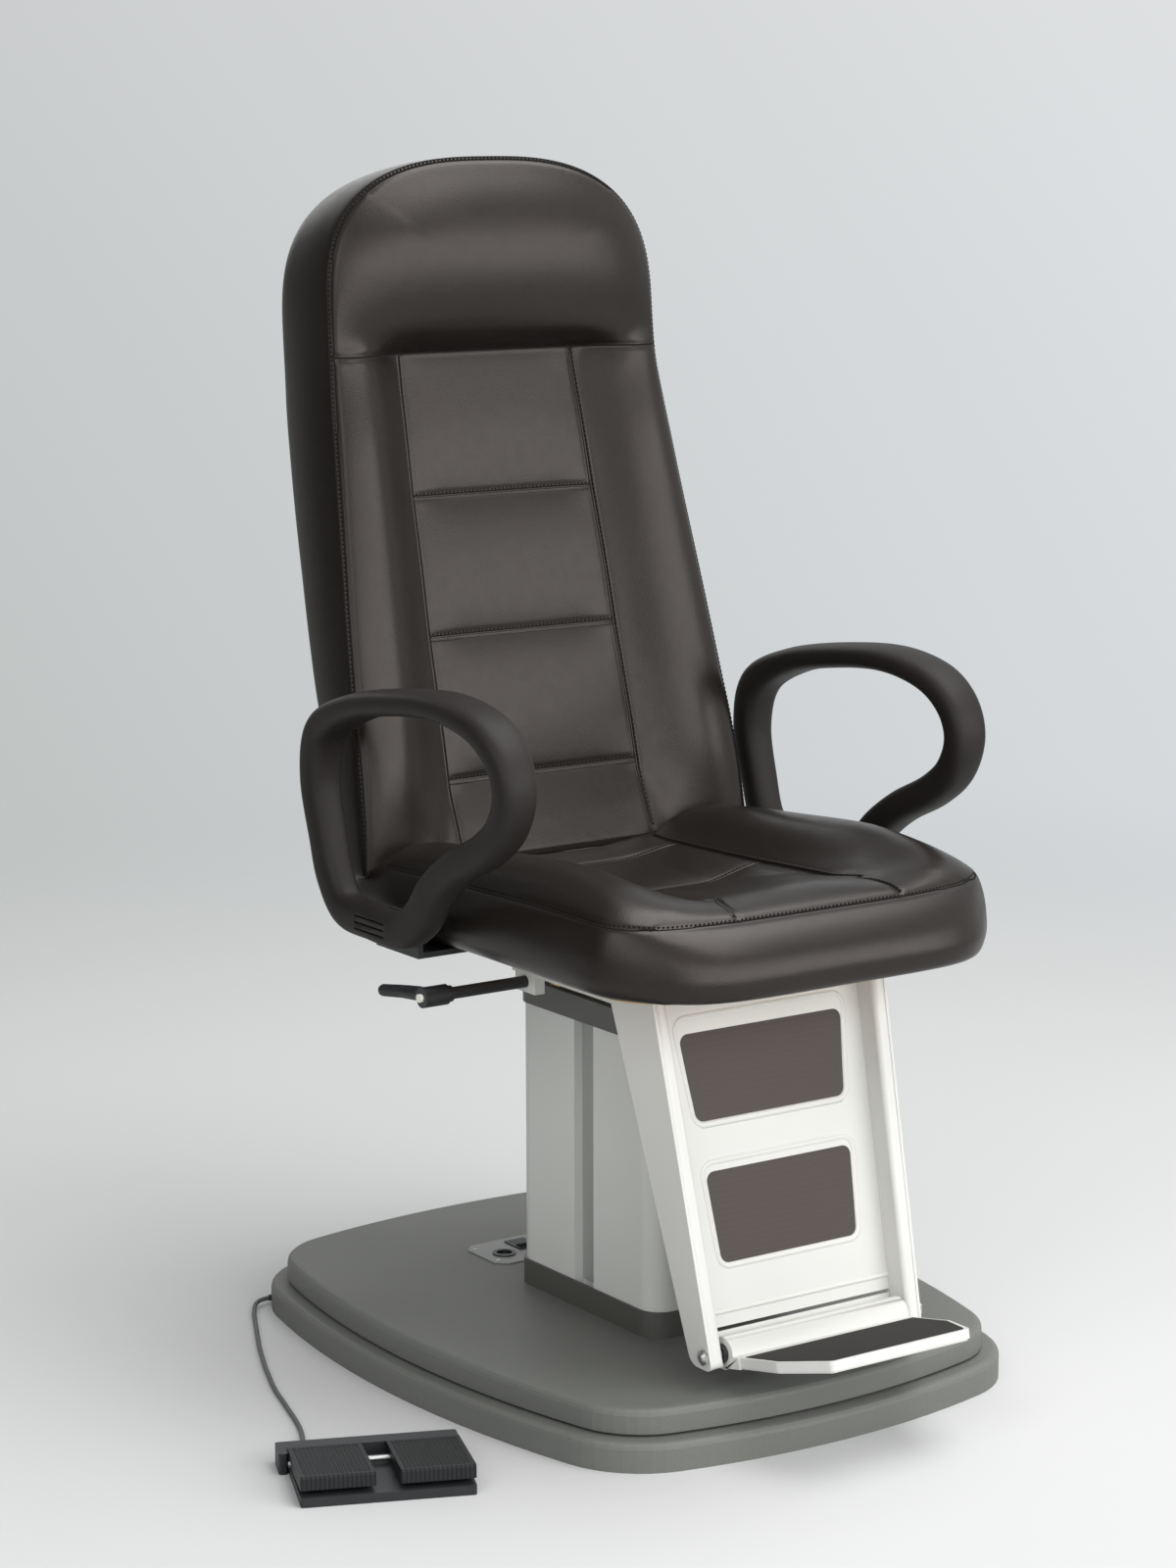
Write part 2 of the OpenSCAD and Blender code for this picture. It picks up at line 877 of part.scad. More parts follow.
// Shoe under the carrier that the rod presses against the disc's rim
module brake_shoe() {
  half = lever_rod_d / 2 + shoe_wall;
  color(brass)
    difference() {
      span([rod_in - lever_rod_d, lever_y - half, lever_z - half],
        [-brake_disc_r / 2, lever_y + half, carrier_z]);
      translate([0, 0, lever_z - half - over])
        cylinder(h = 2 * half + 2 * over, r = brake_disc_r + rest_gap);
      translate([0, 0, ring_z - 2 * rest_gap])
        cylinder(h = carrier_z - ring_z + 2 * rest_gap + over,
          r = brake_disc_r + rest_gap);
      rod_x(rod_in - lever_rod_d - over, rod_in + rest_gap, lever_y, lever_z,
        lever_rod_d / 2 + run_clear);
    }
}

socket_share = 0.5;
hub_socket = hub_l * socket_share;
module lever_rod() {
  color(black)
    rod_x(rod_in, rod_out - hub_socket, lever_y, lever_z, lever_rod_d / 2);
}

// Hub and curved handle, one casting
ball_facets = 20;
ball_share = 0.62;
collar_l = 6;
handle_turn = 4;
handle_shares = [[0, 0, 0.37], [0.35, 0.02, 0.36], [0.7, 0.1, 0.32], [1, 0.24, 0.3]];
function handle_point(s) = [
  rod_out - hub_l * ball_share - s[1] * handle_l,
  lever_y + s[0] * handle_l * cos(handle_turn),
  lever_z - s[0] * handle_l * sin(handle_turn)];
module lever_handle() {
  color(black)
    difference() {
      union() {
        rod_x(rod_out, rod_out - collar_l, lever_y, lever_z,
          (lever_rod_d + hub_d) / 4);
        rod_x(rod_out - collar_l, hub_out, lever_y, lever_z, hub_d / 2);
        for (i = [1:len(handle_shares) - 1])
          hull()
            for (s = [handle_shares[i - 1], handle_shares[i]])
              translate(handle_point(s))
                sphere(r = hub_d * s[2], $fn = ball_facets);
      }
      rod_x(rod_out + over, rod_out - hub_socket, lever_y, lever_z,
        lever_rod_d / 2 + run_clear);
      rod_x(hub_out - over, hub_out + button_well, lever_y, lever_z,
        button_d / 2 + run_clear);
    }
}
button_lip = 1;
button_hold = 7;
button_proud = button_travel + button_lip;
button_well = button_travel + button_hold;
module lever_button() {
  color(white)
    rod_x(hub_out - button_proud,
      hub_out + button_well - button_travel - rest_gap,
      lever_y, lever_z, button_d / 2);
}

// Leg rest

// Frame of the leg rest: origin on the foot plate's axis
rim_ahead = 9;
frame_drop = 14;
frame_top = carrier_top - foot_axis_z - sheet_t;
rear_lean = 19.3;
rear_ahead = 29;
frame_toe_r = 7;
frame_heel_r = 16;
module on_foot_axis() {
  translate([0, -foot_axis_front, foot_axis_z])
    children();
}

// Side outline of the frame, in Y and Z from the foot plate's axis
function rim_y(z) = -rim_ahead + z * tan(leg_lean);
function panel_y(z) = rim_y(z) + rim_depth / cos(leg_lean);
function heel_y(z) = rear_ahead + z * tan(rear_lean);
carrier_line = foot_axis_front - carrier_front;
carrier_line_z = (carrier_line - rear_ahead) / tan(rear_lean);
function side_outline() =
  concat(
    round_corner([rim_y(frame_top), frame_top], [rim_y(-frame_drop), -frame_drop],
      [heel_y(-frame_drop), -frame_drop], frame_toe_r, corner_steps),
    round_corner([rim_y(-frame_drop), -frame_drop],
      [heel_y(-frame_drop), -frame_drop],
      [heel_y(frame_top), frame_top], frame_heel_r, corner_steps),
    [[carrier_line, carrier_line_z], [carrier_line, frame_top],
      [rim_y(frame_top), frame_top]]);

// Turned outline standing in the Y Z plane, from x0 to x1
module side_prism(x0, x1) {
  translate([x0, 0, 0])
    rotate([90, 0, 90])
      linear_extrude(x1 - x0)
        polygon(side_outline());
}

// One side: outer flange with a folded rim along its front
rim_round = 6;
rim_reach_share = 1.2;
module frame_side() {
  t = leg_sheet;
  translate([leg_half_w, 0, 0])
    rotate([0, leg_splay, 0])
      union() {
        side_prism(-t, 0);
        intersection() {
          side_prism(-rim_w, 0);
          translate([-rim_w / 2, 0, 0])
            rotate([-leg_lean, 0, 0])
              translate([0, rim_depth - rim_ahead * cos(leg_lean) + t, -rim_w * 2])
                linear_extrude(frame_top * rim_reach_share)
                  difference() {
                    round_rect(rim_w, 2 * (rim_depth + t), rim_round);
                    round_rect(rim_w - 2 * t, 2 * rim_depth, rim_round - t);
                    translate([-rim_w, t])
                      square([2 * rim_w, 2 * rim_depth]);
                  }
        }
      }
}

// Flat sheet along the panel line between two heights, given its outline
module on_panel() {
  translate([0, panel_y(0), 0])
    rotate([90 - leg_lean, 0, 0])
      children();
}
panel_foot = 19;
panel_rim_share = 0.6;
tab_in = 45;
tab_h = 22;
tab_z = (carrier_z + carrier_top) / 2 - tab_h / 2;
tab_x = carrier_w / 2 - sheet_t;
tab_y = -carrier_front - slip;
side_x = leg_half_w + (tab_z + tab_h / 2 - foot_axis_z) * tan(leg_splay) - leg_sheet;
bead_r = 3;
bead_z = 34;

// Windows: half widths and heights along the panel, chosen by hand
upper_window_shares = [[0.70, 0.595], [0.765, 0.86]];
lower_window_shares = [[0.64, 0.22], [0.685, 0.475]];
function window_points(shares, grow) =
  let (
    w0 = shares[0].x * leg_half_w + grow,
    w1 = shares[1].x * leg_half_w + grow,
    v0 = shares[0].y * frame_top - grow,
    v1 = shares[1].y * frame_top + grow,
    r = window_r + grow
  )
  round_outline([[-w0, v0], [w0, v0], [w1, v1], [-w1, v1]], [r, r, r, r],
    corner_steps);
module legrest_frame() {
  w0 = leg_half_w - rim_w * panel_rim_share;
  w1 = w0 + frame_top * tan(leg_splay);
  color(white)
    difference() {
      union() {
        on_foot_axis() {
          both_sides()
            frame_side();
          difference() {
            on_panel()
              translate([0, 0, -leg_sheet])
                linear_extrude(leg_sheet)
                  difference() {
                    polygon([[-w0, panel_foot], [w0, panel_foot],
                      [w1, frame_top / cos(leg_lean)],
                      [-w1, frame_top / cos(leg_lean)]]);
                    polygon(window_points(upper_window_shares, 0));
                    polygon(window_points(lower_window_shares, 0));
                  }
            translate([0, 0, frame_top])
              linear_extrude(frame_top)
                square(4 * leg_half_w, center = true);
          }
          on_panel()
            rod_x(-w0 + bead_r, w0 - bead_r, bead_z, -bead_r / 2, bead_r);
        }
        both_sides() {
          span([tab_x - leg_sheet, tab_y - 2 * leg_sheet, tab_z],
            [tab_x, tab_y + tab_in, tab_z + tab_h]);
          span([min(tab_x, side_x) - leg_sheet, tab_y - 2 * leg_sheet, tab_z],
            [max(tab_x, side_x) + leg_sheet, tab_y, tab_z + tab_h]);
        }
      }
      rod_x(-carrier_w, carrier_w, -foot_axis_front, foot_axis_z,
        hinge_bolt_d / 2 + slip);
    }
}

// Padded inserts behind the windows
insert_t = 2;
insert_back_t = 4;
insert_lap_w = 5;
module insert(shares) {
  color(insert_grey)
    on_foot_axis()
      on_panel() {
        translate([0, 0, -leg_sheet - insert_back_t])
          linear_extrude(insert_back_t)
            polygon(window_points(shares, insert_lap_w));
        translate([0, 0, -leg_sheet])
          linear_extrude(insert_t)
            polygon(window_points(shares, -slip));
      }
}
module legrest_pad_upper() {
  insert(upper_window_shares);
}
module legrest_pad_lower() {
  insert(lower_window_shares);
}

// Foot plate

barrel_gap = 5;
barrel_half = leg_half_w - rim_w - barrel_gap;
bush_l = 20;
bush_sleeve = 2;
bush_flange = 3;
hinge_bush_r = hinge_bolt_d / 2 + run_clear + bush_sleeve;
bolt_in = barrel_half - bush_l + over;
bolt_head_t = 6;
hex_share = 0.85;
dome_shares = [0.86, 0.45];
module foot_hinge_bolts() {
  head_r = hinge_bolt_d * hex_share;
  color(steel)
    on_foot_axis()
      both_sides() {
        rod_x(bolt_in, leg_half_w + slip, 0, 0, hinge_bolt_d / 2);
        translate([leg_half_w + slip, 0, 0])
          rotate([0, 90, 0]) {
            cylinder(h = bolt_head_t / 2, r = head_r, $fn = 6);
            translate([0, 0, bolt_head_t / 2])
              cylinder(h = bolt_head_t / 2, r1 = head_r * dome_shares[0],
                r2 = head_r * dome_shares[1]);
          }
      }
}

module hinge_bushes() {
  flange_r = hinge_bush_r + bush_flange;
  flange = leg_half_w - rim_w - rest_gap - flange_r * tan(leg_splay);
  color(black)
    on_foot_axis()
      both_sides()
        difference() {
          union() {
            rod_x(barrel_half - bush_l, barrel_half, 0, 0, hinge_bush_r);
            rod_x(barrel_half, flange, 0, 0, flange_r);
          }
          rod_x(barrel_half - bush_l - over, flange + over, 0, 0,
            hinge_bolt_d / 2 + run_clear);
        }
}

// Plate outline in X and along the plate from its axis, set in by an inset
foot_root_share = 0.17;
foot_cheek_share = 0.59;
foot_r = 6;
foot_tip_r = 1;
foot_radii = [foot_tip_r, 2 * foot_r, foot_r, foot_r, 2 * foot_r, foot_tip_r];
foot_steps = 4;
nose_inset_share = 0.6;
mat_root_share = 0.09;
foot_sink_h = 3.5;
function plate_outline(w, n, v0, v2) =
  let (v1 = foot_len * foot_cheek_share)
  round_outline(
    [[-w, v0], [-w, v1], [-n, v2], [n, v2], [w, v1], [w, v0]],
    foot_radii, foot_steps);
function foot_outline(inset) =
  plate_outline(foot_half_w - inset, foot_nose_w - inset * nose_inset_share,
    foot_len * foot_root_share, foot_len - inset);

// Places a drawing of the plate: its top at z = 0, its front towards -Y
module on_foot_plate() {
  on_foot_axis()
    rotate([-foot_rise, 0, 0])
      translate([0, 0, -foot_sink_h])
        mirror([0, 1, 0])
          children();
}
mat_border_w = 3.5;
mat_proud_t = 0.5;
mat_sink_t = mat_t - mat_proud_t;
edge_cut_t = 2;
module foot_plate() {
  color(white)
    difference() {
      union() {
        on_foot_plate() {
          translate([0, 0, -foot_t + edge_cut_t])
            linear_extrude(foot_t - edge_cut_t)
              polygon(foot_outline(0));
          translate([0, 0, -foot_t])
            linear_extrude(edge_cut_t)
              polygon(foot_outline(edge_cut_t));
          translate([0, 0, -foot_t])
            linear_extrude(foot_t)
              translate([-barrel_half, 0])
                square([2 * barrel_half, foot_len * foot_root_share + over]);
        }
        on_foot_axis()
          rod_x(-barrel_half, barrel_half, 0, 0, barrel_r);
      }
      on_foot_plate()
        translate([0, 0, -mat_sink_t])
          linear_extrude(foot_t)
            polygon(mat_outline(0));
      on_foot_axis()
        both_sides()
          rod_x(barrel_half - bush_l, barrel_half + over, 0, 0, hinge_bush_r);
    }
}
function mat_outline(inset) =
  let (e = mat_border_w + inset)
  plate_outline(foot_half_w - e, foot_nose_w - e,
    barrel_r + foot_len * mat_root_share + inset, foot_len - e);
module foot_plate_mat() {
  color(insert_grey)
    on_foot_plate()
      translate([0, 0, -mat_sink_t])
        linear_extrude(mat_t)
          polygon(mat_outline(slip));
}

// Padded forms

// Pulls a square's edge onto a rounded end: a runs from -1 to 1, b from 0 to 1
function soft_end(a, b, n) =
  let (m = max(abs(a), b), q = pow(pow(abs(a), n) + pow(b, n), 1 / n))
  q == 0 ? [0, 0] : [a / q * m, b / q * m];

// Two triangles for a four-sided patch
function patch(a, b, c, d) = [[a, b, c], [a, c, d]];

// Closed solid between a front grid and a rear grid that share their rim, with
// rings of points between them. Grids are lists of columns of points.
function rim_steps(nx, ny) = concat(
  [for (i = [0:nx - 1]) [i, 0]],
  [for (j = [0:ny - 1]) [nx, j]],
  [for (i = [nx:-1:1]) [i, ny]],
  [for (j = [ny:-1:1]) [0, j]]);
module padded(front, rear, rings) {
  nx = len(front) - 1;
  ny = len(front[0]) - 1;
  size = (nx + 1) * (ny + 1);
  rim = rim_steps(nx, ny);
  m = len(rim);
  k = len(rings);
  points = concat(
    [for (c = front) each c],
    [for (c = rear) each c],
    [for (r = rings) each r]);
  function at(layer, q) =
    layer == 0 ? rim[q].x * (ny + 1) + rim[q].y
    : layer > k ? size + rim[q].x * (ny + 1) + rim[q].y
    : 2 * size + (layer - 1) * m + q;
  faces = concat(
    [for (i = [0:nx - 1], j = [0:ny - 1])
      let (p = i * (ny + 1) + j)
      each patch(p, p + 1, p + ny + 2, p + ny + 1)],
    [for (i = [0:nx - 1], j = [0:ny - 1])
      let (p = size + i * (ny + 1) + j)
      each patch(p, p + ny + 1, p + ny + 2, p + 1)],
    [for (layer = [0:k], q = [0:m - 1])
      let (n = (q + 1) % m)
      each patch(at(layer, q), at(layer, n), at(layer + 1, n), at(layer + 1, q))]);
  polyhedron(points, faces, convexity = 6);
}

// Seat

seat_len = seat_nose + seat_rear;
seat_end_share = 0.2;
seat_end_n = 4;
seat_rear_bulge = 5;
board_proud = 2;
seat_z = carrier_top + board_proud;
seat_seam_z = seat_z + seat_seam_h;
seat_s_shares = [-1, -0.94, -0.84, -0.72, -0.6, -0.5, -0.437, -0.4, -0.22, 0,
  0.22, 0.4, 0.437, 0.5, 0.6, 0.72, 0.84, 0.94, 1];
seat_t_shares = [0, 0.04, 0.09, 0.115, 0.14, 0.27, 0.42, 0.445, 0.47, 0.58,
  0.7, 0.78, 0.85, 0.9, 0.94, 0.97, 1];

// Real shares across and along of a grid point, on a form whose end is rounded
// from k on, and how near the point is to the rounded edge
function bent(s, t, k, n) =
  let (b = max(0, (t - k) / (1 - k)), e = soft_end(s, b, n))
  [t <= k ? s : e.x, t <= k ? t : k + e.y * (1 - k), max(abs(s), b)];

// Place in plan of a point of the seat, from shares across and along
function seat_bent(s, t) = bent(s, t, 1 - seat_end_share, seat_end_n);
function seat_plan(s, t) =
  let (e = seat_bent(s, t))
  [e.x * seat_half_w, seat_rear - e.y * seat_len];

// Heights above the seam, as shares of the bolster or of the hollow
seat_seam_shares = [[0, -0.07], [0.3, -0.02], [0.7, 0.04], [0.86, 0.04], [1, -0.02]];
seat_crest_shares = [[0, 0.75], [0.133, 0.95], [0.35, 1.15], [0.6, 1.3],
  [0.78, 1.05], [0.9, 0.62], [1, 0.3]];
seat_edge_shares = [[0, -0.2], [0.1, -0.36], [0.42, -0.4], [0.7, -0.28],
  [0.8, 0], [0.9, 0.28], [1, 0.25]];
seat_middle_shares = [[0, -0.38], [0.1, -0.55], [0.27, -0.72], [0.45, -0.78],
  [0.58, -0.68], [0.7, -0.36], [0.8, 0.03], [0.9, 0.38], [1, 0.25]];
channel_shares = [0.115, 0.445];
channel_half_share = 0.025;
channel_depth = 7;
panel_share = 0.437;
crest_share = 0.78;
slope_share = 0.06;
function channel_dip(t) =
  max([for (c = channel_shares) 1 - min(1, abs(t - c) / channel_half_share)]);
function rim_fall(m, n) = 1 - pow(max(0, m - crest_share) / (1 - crest_share), n);
function seat_rise(s, t) =
  let (
    e = seat_bent(s, t),
    a = abs(s),
    crest = lookup(e.y, seat_crest_shares) * seat_bolster,
    edge = lookup(e.y, seat_edge_shares) * seat_hollow,
    middle = lookup(e.y, seat_middle_shares) * seat_hollow
      - channel_dip(t) * channel_depth,
    seam = lookup(e.y, seat_seam_shares) * seat_seam_h
  )
  seam + rim_fall(e.z, 2.4) * (a < panel_share
    ? mix(edge, middle, smooth(1, 0.3, a / panel_share))
    : mix(edge, crest, smooth(panel_share - slope_share, crest_share, abs(e.x))));

// Side rings: how far down, and how far out, from seam to underside
seat_ring_shares = [[0.2, 0.55, 0.5], [0.48, 0.92, 0.86], [0.75, 1, 1], [0.92, 0.4, 0.97]];
function seat_out(s, t) =
  let (
    k = 1 - seat_end_share,
    b = max(0, (t - k) / (1 - k)),
    side = pow(abs(s), seat_end_n - 1),
    nose = pow(b, seat_end_n - 1),
    v = [sign(s) * side, t <= 0 ? 0 : -nose],
    u = norm(v) == 0 ? [0, t <= 0 ? 1 : -1] : unit(v)
  )
  [sign(u.x) * pow(abs(u.x), 3) * seat_side_bulge,
   u.y < 0 ? -pow(u.y, 2) * seat_front_bulge : u.y * seat_rear_bulge];
seat_foot_shares = [-0.6, 0.87];
module seat_cushion() {
  ss = [for (s = seat_s_shares) -s];
  ts = seat_t_shares;
  nx = len(ss) - 1;
  ny = len(ts) - 1;
  front = [for (s = ss) [for (t = ts)
    let (p = seat_plan(s, t)) [p.x, p.y, seat_seam_z + seat_rise(s, t)]]];
  rear = [for (s = ss) [for (t = ts)
    let (p = seat_plan(s, t), o = seat_out(s, t))
    [p.x + o.x * seat_foot_shares.x * s * s,
     p.y + o.y * seat_foot_shares.y * t * t, seat_z]]];
  rings = [for (r = seat_ring_shares) [for (q = rim_steps(nx, ny))
    let (
      top = front[q.x][q.y],
      o = seat_out(ss[q.x], ts[q.y])
    )
    [top.x + o.x * (abs(ss[q.x]) < 1 && ts[q.y] < 1 ? 0 : r[1]),
     top.y + o.y * r[2],
     mix(top.z, seat_z, r[0])]]];
  color(leather)
    difference() {
      padded(front, rear, rings);
      translate([0, 0, carrier_top - over])
        linear_extrude(seat_board_t + over + slip)
          polygon(board_outline(-slip));
    }
}

// Board under the foam, set in from the cushion's edge
board_inset = 16;
board_r = 60;
function board_outline(inset) =
  let (
    w = seat_half_w - board_inset - inset,
    r = board_r,
    y0 = -seat_nose + inset,
    y1 = seat_rear - board_inset - inset
  )
  round_outline([[-w, y0], [w, y0], [w, y1], [-w, y1]], [r, r, r / 3, r / 3],
    corner_steps);
module seat_board() {
  color(wood)
    translate([0, 0, carrier_top])
      linear_extrude(seat_board_t)
        polygon(board_outline(0));
}

// Backrest

back_z = carrier_top + back_foot_h;
back_arch_share = 0.787;
back_arch_n = 2.7;
back_s_shares = [-1, -0.93, -0.82, -0.68, -0.58, -0.52, -0.49, -0.3, 0, 0.3,
  0.49, 0.52, 0.58, 0.68, 0.82, 0.93, 1];
back_t_shares = [0, 0.03, 0.08, 0.105, 0.115, 0.125, 0.2, 0.3, 0.3175, 0.327,
  0.42, 0.507, 0.517, 0.527, 0.62, 0.7, 0.716, 0.726, 0.76, 0.81, 0.88, 0.94,
  0.975, 1];
seam_lean_shares = [[0, 0], [0.03, 0.041], [0.158, 0.164], [0.238, 0.308],
  [0.408, 0.541], [0.57, 0.74], [0.718, 0.884], [0.809, 0.925], [1, 1]];
back_t_table_shares = [[0, 0.53], [0.2, 0.69], [0.399, 0.83],
  [0.563, 0.94], [0.714, 0.99], [0.809, 0.98], [1, 0.86]];
back_w_shares = [[0, 0.98], [0.236, 1], [0.399, 0.965], [0.563, 0.915],
  [0.714, 0.868], [1, 0.86]];
function seam_y(h) = back_foot_y + lookup(h, seam_lean_shares) * back_lean;
function raw_rear_y(h) = seam_y(h) + lookup(h, back_t_table_shares) * back_t;

// The rear is straight where the bracket lies on it
straight_share = 0.2;
function rear_y(h) =
  h < straight_share
  ? mix(raw_rear_y(0), raw_rear_y(straight_share), h / straight_share)
  : raw_rear_y(h);

// Place of a point of the back, seen from the front, from shares
function back_plan(s, t, inset) =
  let (e = bent(s, t, back_arch_share, back_arch_n))
  [e.x * (lookup(e.y, back_w_shares) * back_half_w - inset), e.y, e.z];

// How far the front stands ahead of the seam, as shares of bolster or recess
back_channel_shares = [0.115, 0.3175, 0.517];
back_channel_half_share = 0.0125;
head_share = 0.721;
back_crest_shares = [[0, 0.15], [0.05, 0.5], [0.15, 1], [0.6, 1], [0.72, 0.6]];
head_shares = [[0.72, 0.15], [0.74, 0.3], [0.775, 0.75], [0.81, 1], [0.88, 0.98],
  [0.94, 0.77], [1, 0.28]];
back_panel_shares = [[0, 0.05], [0.04, 0.45], [0.115, 0.95], [0.22, 0.95],
  [0.3175, 1], [0.42, 0.95], [0.517, 1], [0.62, 0.95], [0.72, 1.05]];
back_channel_depth = 6;
panel_puff = 4;
function back_dip(t) =
  max([for (c = back_channel_shares) 1 - min(1, abs(t - c) / back_channel_half_share)]);
function back_ahead(s, t) =
  let (
    a = abs(s),
    p = back_plan(s, t, 0),
    crest = lookup(t, back_crest_shares) * back_bolster,
    sunk = -lookup(t, back_panel_shares) * back_recess,
    middle = sunk + panel_puff - back_dip(t) * back_channel_depth
  )
  t > head_share ? lookup(p.y, head_shares) * head_bulge * (1 - pow(p.z, 5))
  : a < 0.5 ? mix(sunk, middle, smooth(0.5, 0.3, a))
  : mix(sunk, crest, smooth(0.47, crest_share, a)) * rim_fall(a, 2.2);

back_ring_shares = [[0.12, 0.6], [0.5, 1], [0.88, 0.7]];
back_side_bulge = 5;
module back_form() {
  ss = back_s_shares;
  ts = back_t_shares;
  nx = len(ss) - 1;
  ny = len(ts) - 1;
  front = [for (s = ss) [for (t = ts)
    let (p = back_plan(s, t, 0))
    [p.x, seam_y(p.y) - (abs(s) == 1 || t == 1 || t == 0 ? 0 : back_ahead(s, t)),
     back_z + p.y * back_h]]];
  rear = [for (s = ss) [for (t = ts)
    let (p = back_plan(s, t, -back_side_bulge * 0.4))
    [p.x, rear_y(p.y), back_z + p.y * (back_h - back_drop)]]];
  rings = [for (r = back_ring_shares) [for (q = rim_steps(nx, ny))
    let (
      f = front[q.x][q.y],
      b = rear[q.x][q.y],
      p = mix(f, b, r[0]),
      out = [p.x, 0, p.z - back_z - back_h / 2]
    )
    p + unit(out) * back_side_bulge * r[1]]];
  padded(front, rear, rings);
}
back_drop = 14;

// Outline of the back seen from the front, and its curved section from the side
back_outline_steps = 14;
back_edge_shares = [0, 0.1, 0.236, 0.399, 0.563, 0.714, back_arch_share];
function back_edge(inset) =
  let (
    right = concat(
      [for (t = back_edge_shares)
        let (p = back_plan(1, t, inset)) [p.x, p.y]],
      [for (k = [1:back_outline_steps])
        let (a = 90 * k / back_outline_steps,
          p = soft_end(cos(a) / max(cos(a), sin(a)),
            sin(a) / max(cos(a), sin(a)), back_arch_n))
        [p.x * (lookup(1, back_w_shares) * back_half_w - inset),
         back_arch_share + p.y * (1 - back_arch_share)]])
  )
  [for (p = concat(right, [for (i = [len(right) - 2:-1:0]) [-right[i].x, right[i].y]]))
    [p.x, back_z + inset + p.y * (back_h - back_drop - 2 * inset)]];
back_section_steps = 16;
section_over_share = 0.05;
function section_line(ahead) =
  [for (k = [0:back_section_steps])
    let (h = mix(-section_over_share, 1 + section_over_share, k / back_section_steps))
    [rear_y(max(0, min(1, h))) + (h < 0 ? h * back_lean * 2 : 0) - ahead,
     back_z + h * back_h]];
module back_sheet(ahead, behind, inset) {
  front = section_line(ahead);
  rear = section_line(behind);
  intersection() {
    translate([-back_half_w, 0, 0])
      rotate([90, 0, 90])
        linear_extrude(2 * back_half_w)
          polygon(concat(front, [for (i = [len(rear) - 1:-1:0]) rear[i]]));
    translate([0, back_foot_y + 4 * back_t, 0])
      rotate([90, 0, 0])
        linear_extrude(8 * back_t)
          polygon(back_edge(inset));
  }
}
back_wrap = 14;
panel_proud = 1;
panel_depth = back_board_t + back_panel_t - panel_proud;
module backrest_cushion() {
  color(leather)
    difference() {
      back_form();
      back_sheet(panel_depth + slip, -back_t, back_wrap);
    }
}
module back_board() {
  color(wood)
    back_sheet(panel_depth, back_panel_t - panel_proud, back_wrap + slip);
}
module back_panel() {
  color(leather)
    back_sheet(back_panel_t - panel_proud - slip, -panel_proud, back_wrap + 2 * slip);
}

// Bracket: tab on the carrier, bar under the board, upright behind the back
upright_l = 120;
upright_lean = atan2(raw_rear_y(straight_share) - raw_rear_y(0),
  straight_share * back_h);
upright_y = raw_rear_y(0) + panel_proud / cos(upright_lean) + rest_gap;
bend_z = carrier_top - bracket_t;
bend_y = upright_y - (back_z - bend_z) * tan(upright_lean);
module back_bracket() {
  w = bracket_w / 2;
  color(black) {
    span([-w, carrier_rear, carrier_z + sheet_t],
      [w, carrier_rear + bracket_t, carrier_top]);
    span([-w, carrier_rear, bend_z], [w, bend_y + bracket_t, carrier_top]);
    translate([-w, bend_y, bend_z])
      rotate([-upright_lean, 0, 0])
        cube([bracket_w, bracket_t, back_z - bend_z + upright_l]);
  }
}

// Four bolts through the upright into the board
back_bolt_d = 8;
back_bolt_head_d = back_bolt_d * 1.7;
back_bolt_shares = [0.35, 0.8];
back_bolt_x_share = 0.3;
module back_bolts() {
  color(steel)
    for (sx = [-1, 1], v = back_bolt_shares)
      translate([sx * bracket_w * back_bolt_x_share, bend_y, bend_z])
        rotate([-upright_lean, 0, 0])
          translate([0, bracket_t, back_z - bend_z + upright_l * v])
            rotate([-90, 0, 0])
              cylinder(h = back_bolt_d / 2, d = back_bolt_head_d);
}

// Armrests

arm_z = carrier_top + arm_foot_h;

// Middle line of the loop as shares of its length and height, then half
// thickness and half width as shares of the pad's
arm_shares = [
  [0.978, 0.305, 0.64, 0.66], [1.018, 0.566, 0.66, 0.72],
  [0.971, 0.783, 0.63, 0.83], [0.795, 0.908, 0.52, 0.94],
  [0.575, 0.972, 0.48, 1], [0.333, 1, 0.48, 1],
  [0.145, 0.956, 0.52, 0.93], [0.038, 0.855, 0.58, 0.83],
  [0, 0.715, 0.62, 0.76], [0.038, 0.566, 0.64, 0.72],
  [0.132, 0.454, 0.64, 0.7], [0.274, 0.349, 0.64, 0.69],
  [0.387, 0.229, 0.68, 0.66], [0.468, 0.088, 0.74, 0.62],
  [0.57, 0.004, 0.68, 0.6], [0.723, 0, 0.66, 0.6],
  [0.866, 0.02, 0.68, 0.6], [0.941, 0.145, 0.68, 0.63]];
arm_steps = 3;
arm_sides = 12;
arm_square = 0.72;
function spline(p, q, r, s, k) =
  0.5 * (2 * q + (r - p) * k + (2 * p - 5 * q + 4 * r - s) * k * k
    + (3 * q - p - 3 * r + s) * k * k * k);
